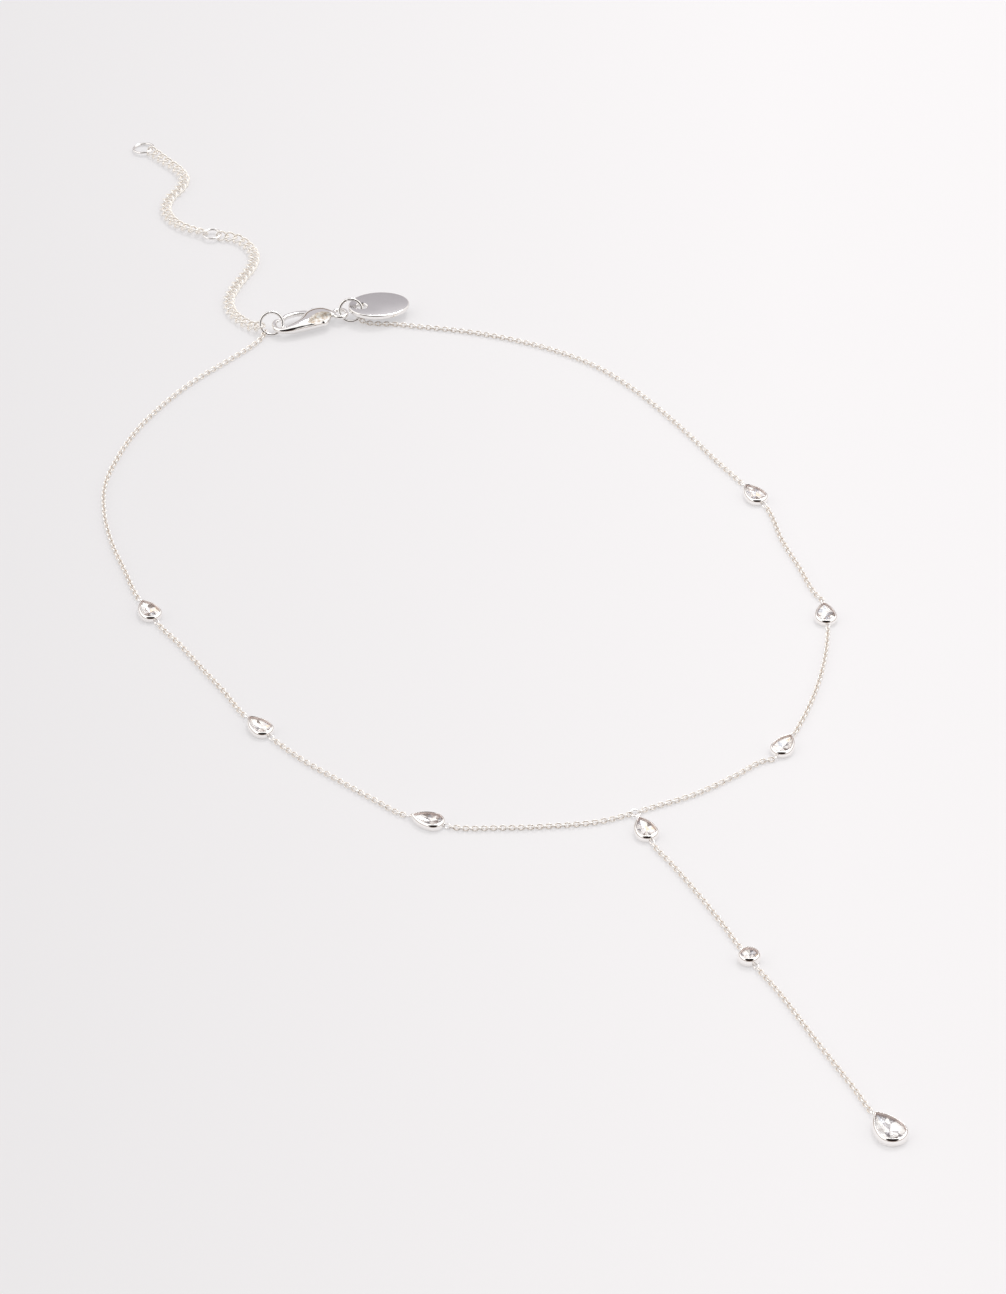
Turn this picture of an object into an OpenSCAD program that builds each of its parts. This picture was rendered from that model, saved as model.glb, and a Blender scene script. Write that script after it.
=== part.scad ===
// Y necklace lying flat: a fine chain of round links with seven small pear stones, a straight
// drop with a round and a large pear stone, a lobster clasp, an oval tag and an extender chain.
// Millimetres. The surface is z = 0, the drop points along -Y and the clasp is at the back.

/* [Fine chain] */
// Outer diameter of a round link
link_d = 1.3; // [1.26:0.02:1.5]
// Wire of a round link
link_wire = 0.22; // [0.18:0.01:0.24]
// Clearance between links that hold each other
link_gap = 0.11; // [0.1:0.01:0.14]
// Diameter of the plain run of chain where its links are not drawn
run_d = 1.04; // [0.9:0.02:1.2]

/* [Extender chain] */
// Length of a curb link
curb_length = 2.4; // [2.3:0.05:2.8]
// Width of a curb link
curb_width = 2.1; // [2:0.05:2.4]
// Wire of a curb link
curb_wire = 0.35; // [0.32:0.01:0.38]
// Spacing of the curb links along the chain
curb_pitch = 1.45; // [1.4:0.01:1.5]

/* [Small pear settings] */
// Length of a small pear cup, tip to round end
pear_length = 5.5; // [4.8:0.1:6.5]
// Width of a small pear cup
pear_width = 3.6; // [3.2:0.1:4]
// Height of a small pear cup
pear_height = 1.15; // [1.05:0.05:1.8]

/* [Large drop pear] */
// Length of the large pear cup
drop_length = 7; // [6:0.1:9]
// Width of the large pear cup
drop_width = 4.7; // [4:0.1:5.5]
// Height of the large pear cup
drop_height = 1.35; // [1.2:0.05:2.4]

/* [Round setting] */
// Diameter of the round cup
round_d = 3.4; // [3:0.1:4.4]
// Height of the round cup
round_height = 1.45; // [1.2:0.05:2]

/* [Cup walls] */
// Width of the rim round a stone
rim_width = 0.42; // [0.34:0.02:0.5]
// Thickness of a cup's floor
floor_thick = 0.14; // [0.1:0.02:0.2]
// Clearance between a stone and its cup
stone_gap = 0.03; // [0.02:0.01:0.06]
// Depth that a soldered ring sinks into a cup
solder_depth = 0.16; // [0.12:0.01:0.2]

/* [Rings] */
// Outer diameter of the junction ring in the loop
junction_d = 1.8; // [1.7:0.05:2.1]
// Wire of the junction ring
junction_wire = 0.26; // [0.22:0.01:0.3]
// Outer diameter of the two large jump rings at the clasp
jump_d = 4.2; // [4:0.1:4.6]
// Wire of the large jump rings
jump_wire = 0.5; // [0.42:0.02:0.54]
// Outer diameter of the ring in the middle of the extender
mid_ring_d = 3.3; // [3:0.1:3.8]
// Wire of the ring in the middle of the extender
mid_ring_wire = 0.42; // [0.36:0.02:0.44]
// Outer diameter of the ring at the extender's free end
end_ring_d = 3.9; // [3.4:0.1:4.4]
// Wire of the ring at the extender's free end
end_ring_wire = 0.44; // [0.36:0.02:0.46]

/* [Tag] */
// Length of the oval tag
tag_length = 10.3; // [9.5:0.1:11.5]
// Width of the oval tag
tag_width = 7.2; // [6:0.2:8]
// Thickness of the tag
tag_thick = 0.8; // [0.5:0.05:0.85]
// Diameter of the hole in the tag
tag_hole_d = 1.8; // [1.7:0.05:2]
// Distance from the tag's end to the centre of its hole
tag_hole_inset = 2.2; // [2.1:0.1:2.5]

/* [Clasp] */
// Distance from the centre of the clasp's eye to the bar at the end of its claw
clasp_reach = 11.4; // [11.2:0.1:11.8]
// Width of the clasp's shank
clasp_width = 4.3; // [4:0.1:4.5]
// Thickness of the clasp's shank
clasp_thick = 2.3; // [2:0.05:2.4]
// Outer diameter of the clasp's eye
eye_d = 2.9; // [2.8:0.05:3]
// Wire of the clasp's eye
eye_wire = 0.7; // [0.6:0.05:0.75]
// Diameter of the lever's pivot pin
pin_d = 0.7; // [0.6:0.05:0.8]
// Radial clearance between the pin and the lever's bore
pin_gap = 0.04; // [0.03:0.01:0.06]
// Radius of the lever's boss round the pin
boss_r = 0.8; // [0.7:0.05:0.85]
// Thickness of the lever
lever_thick = 0.8; // [0.7:0.05:0.9]
// Clearance between the lever and the slot that it turns in
slot_gap = 0.1; // [0.08:0.01:0.14]

/* [Hidden] */

// Resting heights and the radii of the wires' centre lines
roll = 45;
link_r = (link_d - link_wire) / 2;
chain_z = link_r * sin(roll) + link_wire / 2;
pitch = link_d - 2 * link_wire - link_gap;
junction_r = (junction_d - junction_wire) / 2;
junction_step = junction_r - junction_wire / 2 + link_r - link_wire / 2 - link_gap;
jump_r = (jump_d - jump_wire) / 2;
mid_ring_r = (mid_ring_d - mid_ring_wire) / 2;
end_ring_r = (end_ring_d - end_ring_wire) / 2;
curb_a = (curb_length - curb_wire) / 2;
curb_b = (curb_width - curb_wire) / 2;
curb_twist = -45;
curb_z = 0.385 * curb_b + curb_wire / 2;
silver = [0.86, 0.85, 0.84];
clear = [0.93, 0.95, 0.97, 0.6];

// Centres of the settings that the loop and the drop run through, and the turn of each from
// its tip to its round end: [x, y, turn]
RIGHT_BACK = [49.4, 4.6, -85];
RIGHT_SIDE = [45, -28.5, -111];
RIGHT_FRONT = [24.1, -55.3, -143];
LEFT_FRONT = [-32, -49, -47];
LEFT_SIDE = [-45.7, -17.6, -77];
LEFT_BACK = [-49.7, 16.6, -88];
DROP_ROUND = [-3.1, -97.3, -88];
DROP_PEAR = [-2.4, -138.4, -86];
JUNCTION = [-3.3, -60.3];
JUNCTION_TURN = -96;

// Points that each stretch of chain runs through between its two ends, in order
ROUTE = [
  [[13.3, 75.8], [14.5, 74.7], [16, 73.9], [17.5, 73.1], [20.5, 71], [27.5, 66], [33.5, 60.5],
   [38.5, 54.5], [42.5, 47.5], [45, 39.5], [46.5, 31.5], [47.5, 23.5], [48.2, 15.5]],
  [[49.3, -2], [48, -7.5], [47, -16], [46.1, -23]],
  [[42.5, -34], [39, -39.5], [33.5, -46.5], [29, -51.2]],
  [[19.5, -57.2], [14.5, -58.5], [7, -60]],
  [[-8.5, -60], [-16, -57.8], [-23, -55]],
  [[-37, -41.2], [-40, -34.5], [-42.8, -28]],
  [[-47, -7.5], [-47.8, -0.5], [-48.6, 7]],
  [[-49, 28], [-48, 36], [-46.2, 43.5], [-43, 51], [-38, 57.5], [-32.5, 63], [-26, 67.8],
   [-19, 71.8], [-11.5, 75], [-6.5, 77.2], [-4.2, 78.6]],
  [[-3.7, -73], [-3.3, -80], [-3.1, -88]],
  [[-2.7, -105], [-2.7, -118], [-2.6, -129]],
  [[-4.5, 82.5], [-5.3, 85], [-5.6, 88], [-4.6, 91.3], [-2.5, 94], [0, 96.4], [2.6, 98.8],
   [4.4, 101.8], [4.6, 105.2], [3.6, 107.9]],
  [[-1.8, 113.2], [-3.4, 115.8], [-4, 118.9], [-3.3, 122], [-1.4, 124.5], [1, 126.3],
   [2.9, 128.8], [3.1, 132], [2.1, 135.7]]
];

// Large jump rings: they lean on the clasp and the chain
jump_lean = 53;
jump_turn = -25;
jump_z = jump_r * sin(jump_lean) + jump_wire / 2;
CLASP_RING = [11.8, 78.1, jump_z];
HOOK_RING = [-1.65, 80.05, jump_z];
JUMP_ACROSS = [cos(jump_turn), sin(jump_turn), 0];
JUMP_UP = [-sin(jump_turn) * cos(jump_lean), cos(jump_turn) * cos(jump_lean), sin(jump_lean)];
end_roll = 20;
lift_per_degree = 0.011 * curb_b;
held_z = curb_z + end_roll * lift_per_degree;
end_ring_lean = asin((held_z - end_ring_wire / 2) / (2 * end_ring_r));
MID_RING = [0.5, 110.6, held_z];
END_RING = [0.4, 141, held_z - end_ring_r * sin(end_ring_lean)];
chain_on_clasp_ring = -45;
tag_on_clasp_ring = 9;
chain_on_hook_ring = 230;
extender_on_hook_ring = 200;

function unit(v) = v / norm(v);
function jump_point(ring, angle) = ring + jump_r * (cos(angle) * JUMP_ACROSS + sin(angle) * JUMP_UP);
function heading(turn) = [cos(turn), sin(turn), 0];

// Places of the soldered rings: end 1 is at a cup's round end and end -1 at its tip
function ring_reach(length) = length / 2 + link_d / 2 - solder_depth;
function end_ring_at(place, length, end) =
  [place[0], place[1], chain_z] + end * ring_reach(length) * heading(place[2]);
junction_reach = junction_step + ring_reach(pear_length);
JUNCTION_PEAR = concat(JUNCTION + junction_reach * [cos(JUNCTION_TURN), sin(JUNCTION_TURN)],
                       JUNCTION_TURN);
JUNCTION_AT = [JUNCTION[0], JUNCTION[1], chain_z];

// A smooth curve through points, with the directions given at its two ends and level between
function hermite(p, q, m, n, t) =
  (2 * t * t * t - 3 * t * t + 1) * p + (t * t * t - 2 * t * t + t) * m
  + (3 * t * t - 2 * t * t * t) * q + (t * t * t - t * t) * n;
function way_at(p, i, first, last) =
  i == 0 ? first : i == len(p) - 1 ? last :
  let (back = p[i] - p[i - 1], ahead = p[i + 1] - p[i],
       way = unit(back) * norm(ahead) + unit(ahead) * norm(back))
  unit([way[0], way[1], 0]);
function curve(p, first, last, steps) =
  [for (i = [0:len(p) - 2], s = [0:steps - 1])
    let (span = norm(p[i + 1] - p[i]))
    hermite(p[i], p[i + 1], span * way_at(p, i, first, last),
            span * way_at(p, i + 1, first, last), s / steps),
   p[len(p) - 1]];
function lengths(c) =
  [for (i = 0, s = 0; i < len(c); s = s + (i < len(c) - 1 ? norm(c[i + 1] - c[i]) : 0), i = i + 1) s];
function place_on(c, run, s) =
  [for (k = [0:2]) lookup(s, [for (i = [0:len(c) - 1]) [run[i], c[i][k]]])];

// A stretch of chain: [curve, running length, distance to the first link, distance to the last]
curve_steps = 8;
function stretch(from, from_way, from_step, points, height, to, to_way, to_step) =
  let (c = curve(concat([from], [for (p = points) [p[0], p[1], height]], [to]),
                 unit(from_way), unit(to_way), curve_steps),
       run = lengths(c))
  [c, run, from_step, run[len(run) - 1] - to_step];
function between(a, a_length, a_end, points, b, b_length, b_end) =
  stretch(end_ring_at(a, a_length, a_end), a_end * heading(a[2]), pitch, points, chain_z,
          end_ring_at(b, b_length, b_end), -b_end * heading(b[2]), pitch);

// How far the middle of a link lies from the wire that it holds
link_on_jump = link_r - link_wire / 2 - jump_wire / 2 - link_gap;
curb_on_ring = (curb_a - curb_wire / 2) / 2;

function right_back() = stretch(
  jump_point(CLASP_RING, chain_on_clasp_ring), [0.47, -0.83, -0.2], link_on_jump,
  ROUTE[0], chain_z,
  end_ring_at(RIGHT_BACK, pear_length, -1), heading(RIGHT_BACK[2]), pitch);
function right_side() = between(RIGHT_BACK, pear_length, 1, ROUTE[1], RIGHT_SIDE, pear_length, -1);
function right_mid() = between(RIGHT_SIDE, pear_length, 1, ROUTE[2], RIGHT_FRONT, pear_length, -1);
function front_right() = stretch(
  end_ring_at(RIGHT_FRONT, pear_length, 1), heading(RIGHT_FRONT[2]), pitch, ROUTE[3], chain_z,
  JUNCTION_AT, [-1, -0.1, 0], junction_step);
function front_left() = stretch(
  JUNCTION_AT, [-1, 0.1, 0], junction_step, ROUTE[4], chain_z,
  end_ring_at(LEFT_FRONT, pear_length, 1), -heading(LEFT_FRONT[2]), pitch);
function left_mid() = between(LEFT_FRONT, pear_length, -1, ROUTE[5], LEFT_SIDE, pear_length, 1);
function left_side() = between(LEFT_SIDE, pear_length, -1, ROUTE[6], LEFT_BACK, pear_length, 1);
function left_back() = stretch(
  end_ring_at(LEFT_BACK, pear_length, -1), -heading(LEFT_BACK[2]), pitch, ROUTE[7], chain_z,
  jump_point(HOOK_RING, chain_on_hook_ring), [0.55, 0.83, 0.05], link_on_jump);
function drop_upper() = between(JUNCTION_PEAR, pear_length, 1, ROUTE[8], DROP_ROUND, round_d, -1);
function drop_lower() = between(DROP_ROUND, round_d, 1, ROUTE[9], DROP_PEAR, drop_length, -1);
function level(p) = [p[0], p[1], curb_z];
MID_IN = heading(136);
MID_OUT = heading(134);
end_turn = 111;
END_IN = [cos(end_turn) * cos(end_ring_lean), sin(end_turn) * cos(end_ring_lean), -sin(end_ring_lean)];
function lower_run() = stretch(
  jump_point(HOOK_RING, extender_on_hook_ring), [-0.5, 0.8, -0.33], curb_on_ring,
  ROUTE[10], curb_z, level(MID_RING - mid_ring_r * MID_IN), MID_IN, curb_on_ring);
function upper_run() = stretch(
  level(MID_RING + mid_ring_r * MID_OUT), MID_OUT, curb_on_ring, ROUTE[11], curb_z,
  level(END_RING - end_ring_r * END_IN), heading(end_turn), curb_on_ring);

// Distances of the links along a stretch. The count is even, so that the rolls alternate from
// ring to ring, and one more where extra is 1.
function link_places(run, step, extra) =
  let (n = 2 * ceil(((run[3] - run[2]) / step + 1 - extra) / 2) + extra)
  [for (i = [0:n - 1]) run[2] + (run[3] - run[2]) * i / (n - 1)];
function curb_places(run) =
  let (n = ceil((run[3] - run[2]) / curb_pitch - 0.5) + 1)
  [for (i = [0:n - 1]) run[2] + (run[3] - run[2]) * i / (n - 1)];

// Turns a child's X axis along a stretch at distance s, with its Y axis level
module along(run, s) {
  probe = 0.3;
  end = run[1][len(run[1]) - 1];
  at = place_on(run[0], run[1], s);
  ahead = place_on(run[0], run[1], min(end, s + probe)) - place_on(run[0], run[1], max(0, s - probe));
  translate(at)
    rotate([0, -atan2(ahead[2], norm([ahead[0], ahead[1]])), atan2(ahead[1], ahead[0])])
      children();
}

module ring(d, wire) {
  rotate_extrude($fn = 32)
    translate([(d - wire) / 2, 0])
      circle(d = wire, $fn = 16);
}

module links(run, extra = 0) {
  places = link_places(run, pitch, extra);
  color(silver)
    for (i = [0:len(places) - 1])
      along(run, places[i])
        rotate([i % 2 == 0 ? -roll : roll, 0, 0])
          ring(link_d, link_wire);
}

// A closed skin over rows of points: each row is a loop with the same number of points
function skin_faces(rows, n) = concat(
  [for (r = [0:rows - 2], i = [0:n - 1]) [r * n + i, (r + 1) * n + i, (r + 1) * n + (i + 1) % n]],
  [for (r = [0:rows - 2], i = [0:n - 1]) [r * n + i, (r + 1) * n + (i + 1) % n, r * n + (i + 1) % n]],
  [[for (i = [0:n - 1]) i]],
  [[for (i = [n - 1:-1:0]) (rows - 1) * n + i]]);
module skin(rows) {
  n = len(rows[0]);
  polyhedron([for (row = rows, p = row) p], skin_faces(len(rows), n), convexity = 6);
}

// A plain run of chain, swept as a tube along its stretch
run_sides = 8;
run_spacing = 3.45;
run_z = run_d / 2 * cos(180 / run_sides);
module plain_run(run) {
  clear = jump_wire / 2 + link_gap;
  from = max(run[2], clear);
  to = min(run[3], run[1][len(run[1]) - 1] - clear);
  n = ceil((to - from) / run_spacing);
  color(silver)
    skin([for (k = [0:n])
      let (s = from + (to - from) * k / n,
           at = place_on(run[0], run[1], s),
           ahead = unit(place_on(run[0], run[1], s + 0.2) - place_on(run[0], run[1], s - 0.2)),
           side = unit([-ahead[1], ahead[0], 0]),
           up = cross(ahead, side))
      [for (j = [0:run_sides - 1])
        let (a = 360 * (j + 0.5) / run_sides)
        at + [0, 0, run_z - chain_z] + run_d / 2 * (cos(a) * side + sin(a) * up)]]);
}

// Extender links: an oval wire twisted so that the links lie flat
curb_sides = 6;
curb_points = 12;
module curb_link() {
  skin_ring([for (k = [0:curb_points - 1])
    let (t = 360 * k / curb_points, twist = curb_twist * cos(t))
    [curb_a * cos(t), curb_b * sin(t) * cos(twist), curb_b * sin(t) * sin(twist)]],
    curb_wire, curb_sides);
}
// A closed loop of wire along centre points that lie round the origin
module skin_ring(centres, wire, sides) {
  n = len(centres);
  points = [for (k = [0:n - 1])
    let (ahead = unit(centres[(k + 1) % n] - centres[(k + n - 1) % n]),
         out = unit(centres[k] - (centres[k] * ahead) * ahead),
         side = cross(ahead, out))
    for (j = [0:sides - 1])
      centres[k] + wire / 2 * (cos(360 * j / sides) * out + sin(360 * j / sides) * side)];
  faces = [for (k = [0:n - 1], j = [0:sides - 1])
    let (a = k * sides, b = (k + 1) % n * sides, m = (j + 1) % sides)
    each [[a + j, b + j, b + m], [a + j, b + m, a + m]]];
  polyhedron(points, faces, convexity = 4);
}
// The last few links roll little by little, to face the ring that the end link holds, and rise
// as they roll
curb_ease = 4;
module curb(run, roll_from, roll_to) {
  places = curb_places(run);
  last = len(places) - 1;
  color(silver)
    for (i = [0:last]) {
      turn = roll_from * max(0, 1 - i / curb_ease) + roll_to * max(0, 1 - (last - i) / curb_ease);
      translate([0, 0, abs(turn) * lift_per_degree])
        along(run, places[i])
          rotate([turn, 0, 0])
            curb_link();
    }
}

// Outline of a cup or stone, counted round from the foot of its round end: a round end, two
// bowed sides and a tip towards -X. Equal length and width give a circle.
side_bow = 1.3;
function rim_point(length, width, inset, i, round_steps, side_steps) =
  let (steps = round_steps + 2 * side_steps, r = width / 2, mid = length / 2 - r,
       bow = side_bow * width, tip = -length / 2,
       px = (bow * bow - pow(bow - r, 2) - tip * tip + mid * mid) / (2 * (mid - tip)),
       py = sqrt(max(0, bow * bow - pow(px - tip, 2))),
       open = atan2(py, mid - px), close = 180 - asin(min(1, py / (bow - inset))),
       k = i % steps)
  length == width ? (r - inset) * [cos(360 * i / steps), sin(360 * i / steps)] :
  k <= round_steps ?
    [mid, 0] + (r - inset) * [cos(open * (2 * k / round_steps - 1)), sin(open * (2 * k / round_steps - 1))] :
  k <= round_steps + side_steps ?
    let (a = open + (close - open) * (k - round_steps) / side_steps)
    [px, -py] + (bow - inset) * [cos(a), sin(a)] :
    let (a = close - (close - open) * (k - round_steps - side_steps) / side_steps)
    [px, py] + (bow - inset) * [cos(a), -sin(a)];
function rim_row(length, width, inset, z, round_steps, side_steps, shift = 0) =
  [for (i = [0:round_steps + 2 * side_steps - 1])
    let (p = rim_point(length, width, inset, i + shift, round_steps, side_steps))
    [p[0], p[1], z]];

// Section of a cup's wall from its foot over the rim: [share of the rim width, share of height]
CUP_WALL = [[0.5, 0], [0.1, 0.14], [0, 0.34], [0.08, 0.62], [0.26, 0.84], [0.5, 0.96], [0.76, 1], [1, 0.88]];
cup_round_steps = 10;
cup_side_steps = 5;
module pear_cup(length, width, height) {
  wall = concat([for (w = CUP_WALL) [w[0] * rim_width, w[1] * height]], [[rim_width, floor_thick]]);
  skin([for (w = wall) rim_row(length, width, w[0], w[1], cup_round_steps, cup_side_steps)]);
}
module round_cup(d, height) {
  wall = concat([for (w = CUP_WALL) [w[0] * rim_width, w[1] * height]], [[rim_width, floor_thick]]);
  rotate_extrude($fn = 48)
    polygon(concat([[0, 0]], [for (w = wall) [d / 2 - w[0], w[1]]], [[0, floor_thick]]));
}
// The soldered ring at one end of a cup, rolled to carry on the chain's alternation
module cup_ring(length, end) {
  translate([end * ring_reach(length), 0, chain_z])
    rotate([end * roll, 0, 0])
      ring(link_d, link_wire);
}
module at_place(place) {
  translate([place[0], place[1], 0])
    rotate([0, 0, place[2]])
      children();
}
module pear_setting(place) {
  color(silver)
    at_place(place)
      union() {
        pear_cup(pear_length, pear_width, pear_height);
        cup_ring(pear_length, -1);
        cup_ring(pear_length, 1);
      }
}

// Rows of a cut stone: [share of the girdle half width taken in, share of cup height, half step]
STONE_CUT = [[0.5, 0.35, 0.5], [0, 0.57, 0], [0, 0.63, 0], [0.2, 0.81, 0.5], [0.4, 0.92, 0]];
stone_round_steps = 6;
stone_side_steps = 3;
module stone(length, width, height) {
  inset = rim_width + stone_gap;
  half = width / 2 - inset;
  culet = floor_thick + stone_gap;
  steps = stone_round_steps + 2 * stone_side_steps;
  rows = [for (c = STONE_CUT)
    rim_row(length, width, inset + c[0] * half, c[1] * height, stone_round_steps,
            stone_side_steps, c[2])];
  points = concat([for (row = rows, p = row) p], [[(length - width) * 0.3, 0, culet]]);
  faces = concat(
    [for (r = [0:len(rows) - 2], i = [0:steps - 1])
      let (j = (i + 1) % steps, a = r * steps, b = (r + 1) * steps, late = STONE_CUT[r][2] > 0)
      late ? [a + i, b + j, a + j] : [a + i, b + i, a + j]],
    [for (r = [0:len(rows) - 2], i = [0:steps - 1])
      let (j = (i + 1) % steps, a = r * steps, b = (r + 1) * steps, late = STONE_CUT[r][2] > 0)
      late ? [a + i, b + i, b + j] : [a + j, b + i, b + j]],
    [[for (i = [steps - 1:-1:0]) (len(rows) - 1) * steps + i]],
    [for (i = [0:steps - 1]) [i, (i + 1) % steps, len(rows) * steps]]);
  color(clear)
    polyhedron(points, faces, convexity = 4);
}
module pear_stone(place) {
  at_place(place)
    stone(pear_length, pear_width, pear_height);
}

module setting_right_back() { pear_setting(RIGHT_BACK); }
module setting_right_side() { pear_setting(RIGHT_SIDE); }
module setting_right_front() { pear_setting(RIGHT_FRONT); }
module setting_left_front() { pear_setting(LEFT_FRONT); }
module setting_left_side() { pear_setting(LEFT_SIDE); }
module setting_left_back() { pear_setting(LEFT_BACK); }
module setting_junction() { pear_setting(JUNCTION_PEAR); }
module setting_drop_round() {
  color(silver)
    at_place(DROP_ROUND)
      union() {
        round_cup(round_d, round_height);
        cup_ring(round_d, -1);
        cup_ring(round_d, 1);
      }
}
module setting_drop_pear() {
  color(silver)
    at_place(DROP_PEAR)
      union() {
        pear_cup(drop_length, drop_width, drop_height);
        cup_ring(drop_length, -1);
      }
}
module stone_right_back() { pear_stone(RIGHT_BACK); }
module stone_right_side() { pear_stone(RIGHT_SIDE); }
module stone_right_front() { pear_stone(RIGHT_FRONT); }
module stone_left_front() { pear_stone(LEFT_FRONT); }
module stone_left_side() { pear_stone(LEFT_SIDE); }
module stone_left_back() { pear_stone(LEFT_BACK); }
module stone_junction() { pear_stone(JUNCTION_PEAR); }
module stone_drop_round() {
  at_place(DROP_ROUND)
    stone(round_d, round_d, round_height);
}
module stone_drop_pear() {
  at_place(DROP_PEAR)
    stone(drop_length, drop_width, drop_height);
}

module chain_right_back() { plain_run(right_back()); }
module chain_right_side() { links(right_side()); }
module chain_right_mid() { links(right_mid()); }
module chain_front_right() { plain_run(front_right()); }
module chain_front_left() { plain_run(front_left()); }
module chain_left_mid() { plain_run(left_mid()); }
module chain_left_side() { plain_run(left_side()); }
module chain_left_back() { plain_run(left_back()); }
module chain_drop_upper() { links(drop_upper()); }
module chain_drop_lower() { links(drop_lower()); }

module junction_ring() {
  color(silver)
    translate(JUNCTION_AT)
      ring(junction_d, junction_wire);
}
module jump_ring(at) {
  color(silver)
    translate(at)
      rotate([jump_lean, 0, jump_turn])
        ring(jump_d, jump_wire);
}
module clasp_ring() { jump_ring(CLASP_RING); }
module hook_ring() { jump_ring(HOOK_RING); }
module extender_lower() { curb(lower_run(), -end_roll, -end_roll); }
module extender_upper() { curb(upper_run(), end_roll, -end_roll); }
module extender_ring() {
  color(silver)
    translate(MID_RING)
      ring(mid_ring_d, mid_ring_wire);
}
module end_ring() {
  color(silver)
    translate(END_RING)
      rotate([0, end_ring_lean, end_turn])
        ring(end_ring_d, end_ring_wire);
}

// Oval tag: its hole hangs on the clasp ring and its far end rests on the chain
tag_turn = -8;
tag_rest_gap = 0.1;
tag_rest_z = 2 * chain_z + tag_rest_gap + tag_thick / 2;
tag_hole_at = jump_point(CLASP_RING, tag_on_clasp_ring) + [0.05, 0.2, 0];
tag_fall = asin((tag_hole_at[2] - tag_rest_z) / (tag_length - tag_hole_inset));
tag_sides = 48;
module tag() {
  color("lightgray")
    translate(tag_hole_at)
      rotate([0, tag_fall, tag_turn])
        translate([0, 0, -tag_thick / 2])
          difference() {
            translate([tag_length / 2 - tag_hole_inset, 0, 0])
              linear_extrude(tag_thick)
                polygon([for (i = [0:tag_sides - 1])
                  let (a = 360 * i / tag_sides)
                  [tag_length / 2 * cos(a), tag_width / 2 * sin(a)]]);
            translate([0, 0, -1])
              cylinder(d = tag_hole_d, h = tag_thick + 2, $fn = 32);
          }
}

// Lobster clasp: its eye hangs on the clasp ring and its claw holds the hook ring.
// In its own frame the eye is at the origin, the claw lies towards -X and the lever towards +Y.
clasp_z = 1.3;
EYE_AT = jump_point(CLASP_RING, 180 + asin((jump_z - clasp_z) / (jump_r * sin(jump_lean))));
// Sections of the body from the eye to the nose: [share of reach along, share of width across,
// half width as a share of width, half height as a share of thickness]
BODY = [
  [0.093, 0.01, 0.09, 0.15], [0.14, 0.08, 0.29, 0.29], [0.205, 0.115, 0.465, 0.42],
  [0.285, 0.12, 0.555, 0.49], [0.38, 0.07, 0.55, 0.5], [0.485, -0.04, 0.43, 0.48],
  [0.6, -0.13, 0.305, 0.45], [0.7, -0.175, 0.24, 0.41], [0.8, -0.2, 0.195, 0.35],
  [0.882, -0.185, 0.15, 0.27], [0.953, -0.12, 0.115, 0.21], [0.998, 0.04, 0.105, 0.19],
  [1, 0.235, 0.102, 0.185], [0.975, 0.41, 0.096, 0.175], [0.926, 0.53, 0.08, 0.155],
  [0.856, 0.575, 0.042, 0.08]
];
// Middle line of the lever from its pivot to its tip: [along, across, half width], as above
LEVER = [
  [0.36, 0.34, 0.12], [0.445, 0.55, 0.115], [0.56, 0.665, 0.098], [0.665, 0.69, 0.088],
  [0.755, 0.655, 0.08], [0.812, 0.56, 0.07]
];
PIVOT = [-LEVER[0][0] * clasp_reach, LEVER[0][1] * clasp_width];
LEVER_KNOB = [0.335, 0.58, 0.12];
body_sides = 12;
function body_at(k) = [-BODY[k][0] * clasp_reach, BODY[k][1] * clasp_width, 0];
function body_way(k) =
  unit(body_at(min(k + 1, len(BODY) - 1)) - body_at(max(k - 1, 0)));
module clasp_body() {
  slot = lever_thick + 2 * slot_gap;
  slot_r = boss_r + slot_gap;
  color(silver)
    translate(EYE_AT)
      union() {
        difference() {
          skin([for (k = [0:len(BODY) - 1])
            let (ahead = body_way(k), side = [-ahead[1], ahead[0], 0])
            [for (j = [0:body_sides - 1])
              let (a = 360 * j / body_sides)
              body_at(k) + BODY[k][2] * clasp_width * cos(a) * side
                + [0, 0, BODY[k][3] * clasp_thick * sin(a)]]]);
          translate([PIVOT[0], PIVOT[1], -slot / 2])
            cylinder(r = slot_r, h = slot, $fn = 32);
          translate([PIVOT[0] - clasp_reach / 3, PIVOT[1] - slot_r, -slot / 2])
            cube([clasp_reach / 3 + slot_r, clasp_width, slot]);
        }
        translate([PIVOT[0], PIVOT[1], -slot])
          cylinder(d = pin_d, h = 2 * slot - 0.2, $fn = 24);
        ring(eye_d, eye_wire);
      }
}
function lever_at(k) = [-LEVER[k][0] * clasp_reach, LEVER[k][1] * clasp_width];
function lever_edge(k, side) =
  let (ahead = unit(lever_at(min(k + 1, len(LEVER) - 1)) - lever_at(max(k - 1, 0))))
  lever_at(k) + side * LEVER[k][2] * clasp_width * [-ahead[1], ahead[0]];
module clasp_lever() {
  last = len(LEVER) - 1;
  color(silver)
    translate(EYE_AT - [0, 0, lever_thick / 2])
      difference() {
        union() {
          linear_extrude(lever_thick)
            union() {
              polygon(concat([for (k = [0:last]) lever_edge(k, 1)], [for (k = [last:-1:0]) lever_edge(k, -1)]));
              translate(lever_at(last))
                circle(r = LEVER[last][2] * clasp_width, $fn = 24);
              translate([-LEVER_KNOB[0] * clasp_reach, LEVER_KNOB[1] * clasp_width])
                circle(r = LEVER_KNOB[2] * clasp_width, $fn = 24);
            }
          translate(PIVOT)
            cylinder(r = boss_r, h = lever_thick, $fn = 32);
        }
        translate([PIVOT[0], PIVOT[1], -1])
          cylinder(d = pin_d + 2 * pin_gap, h = lever_thick + 2, $fn = 24);
      }
}

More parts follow.
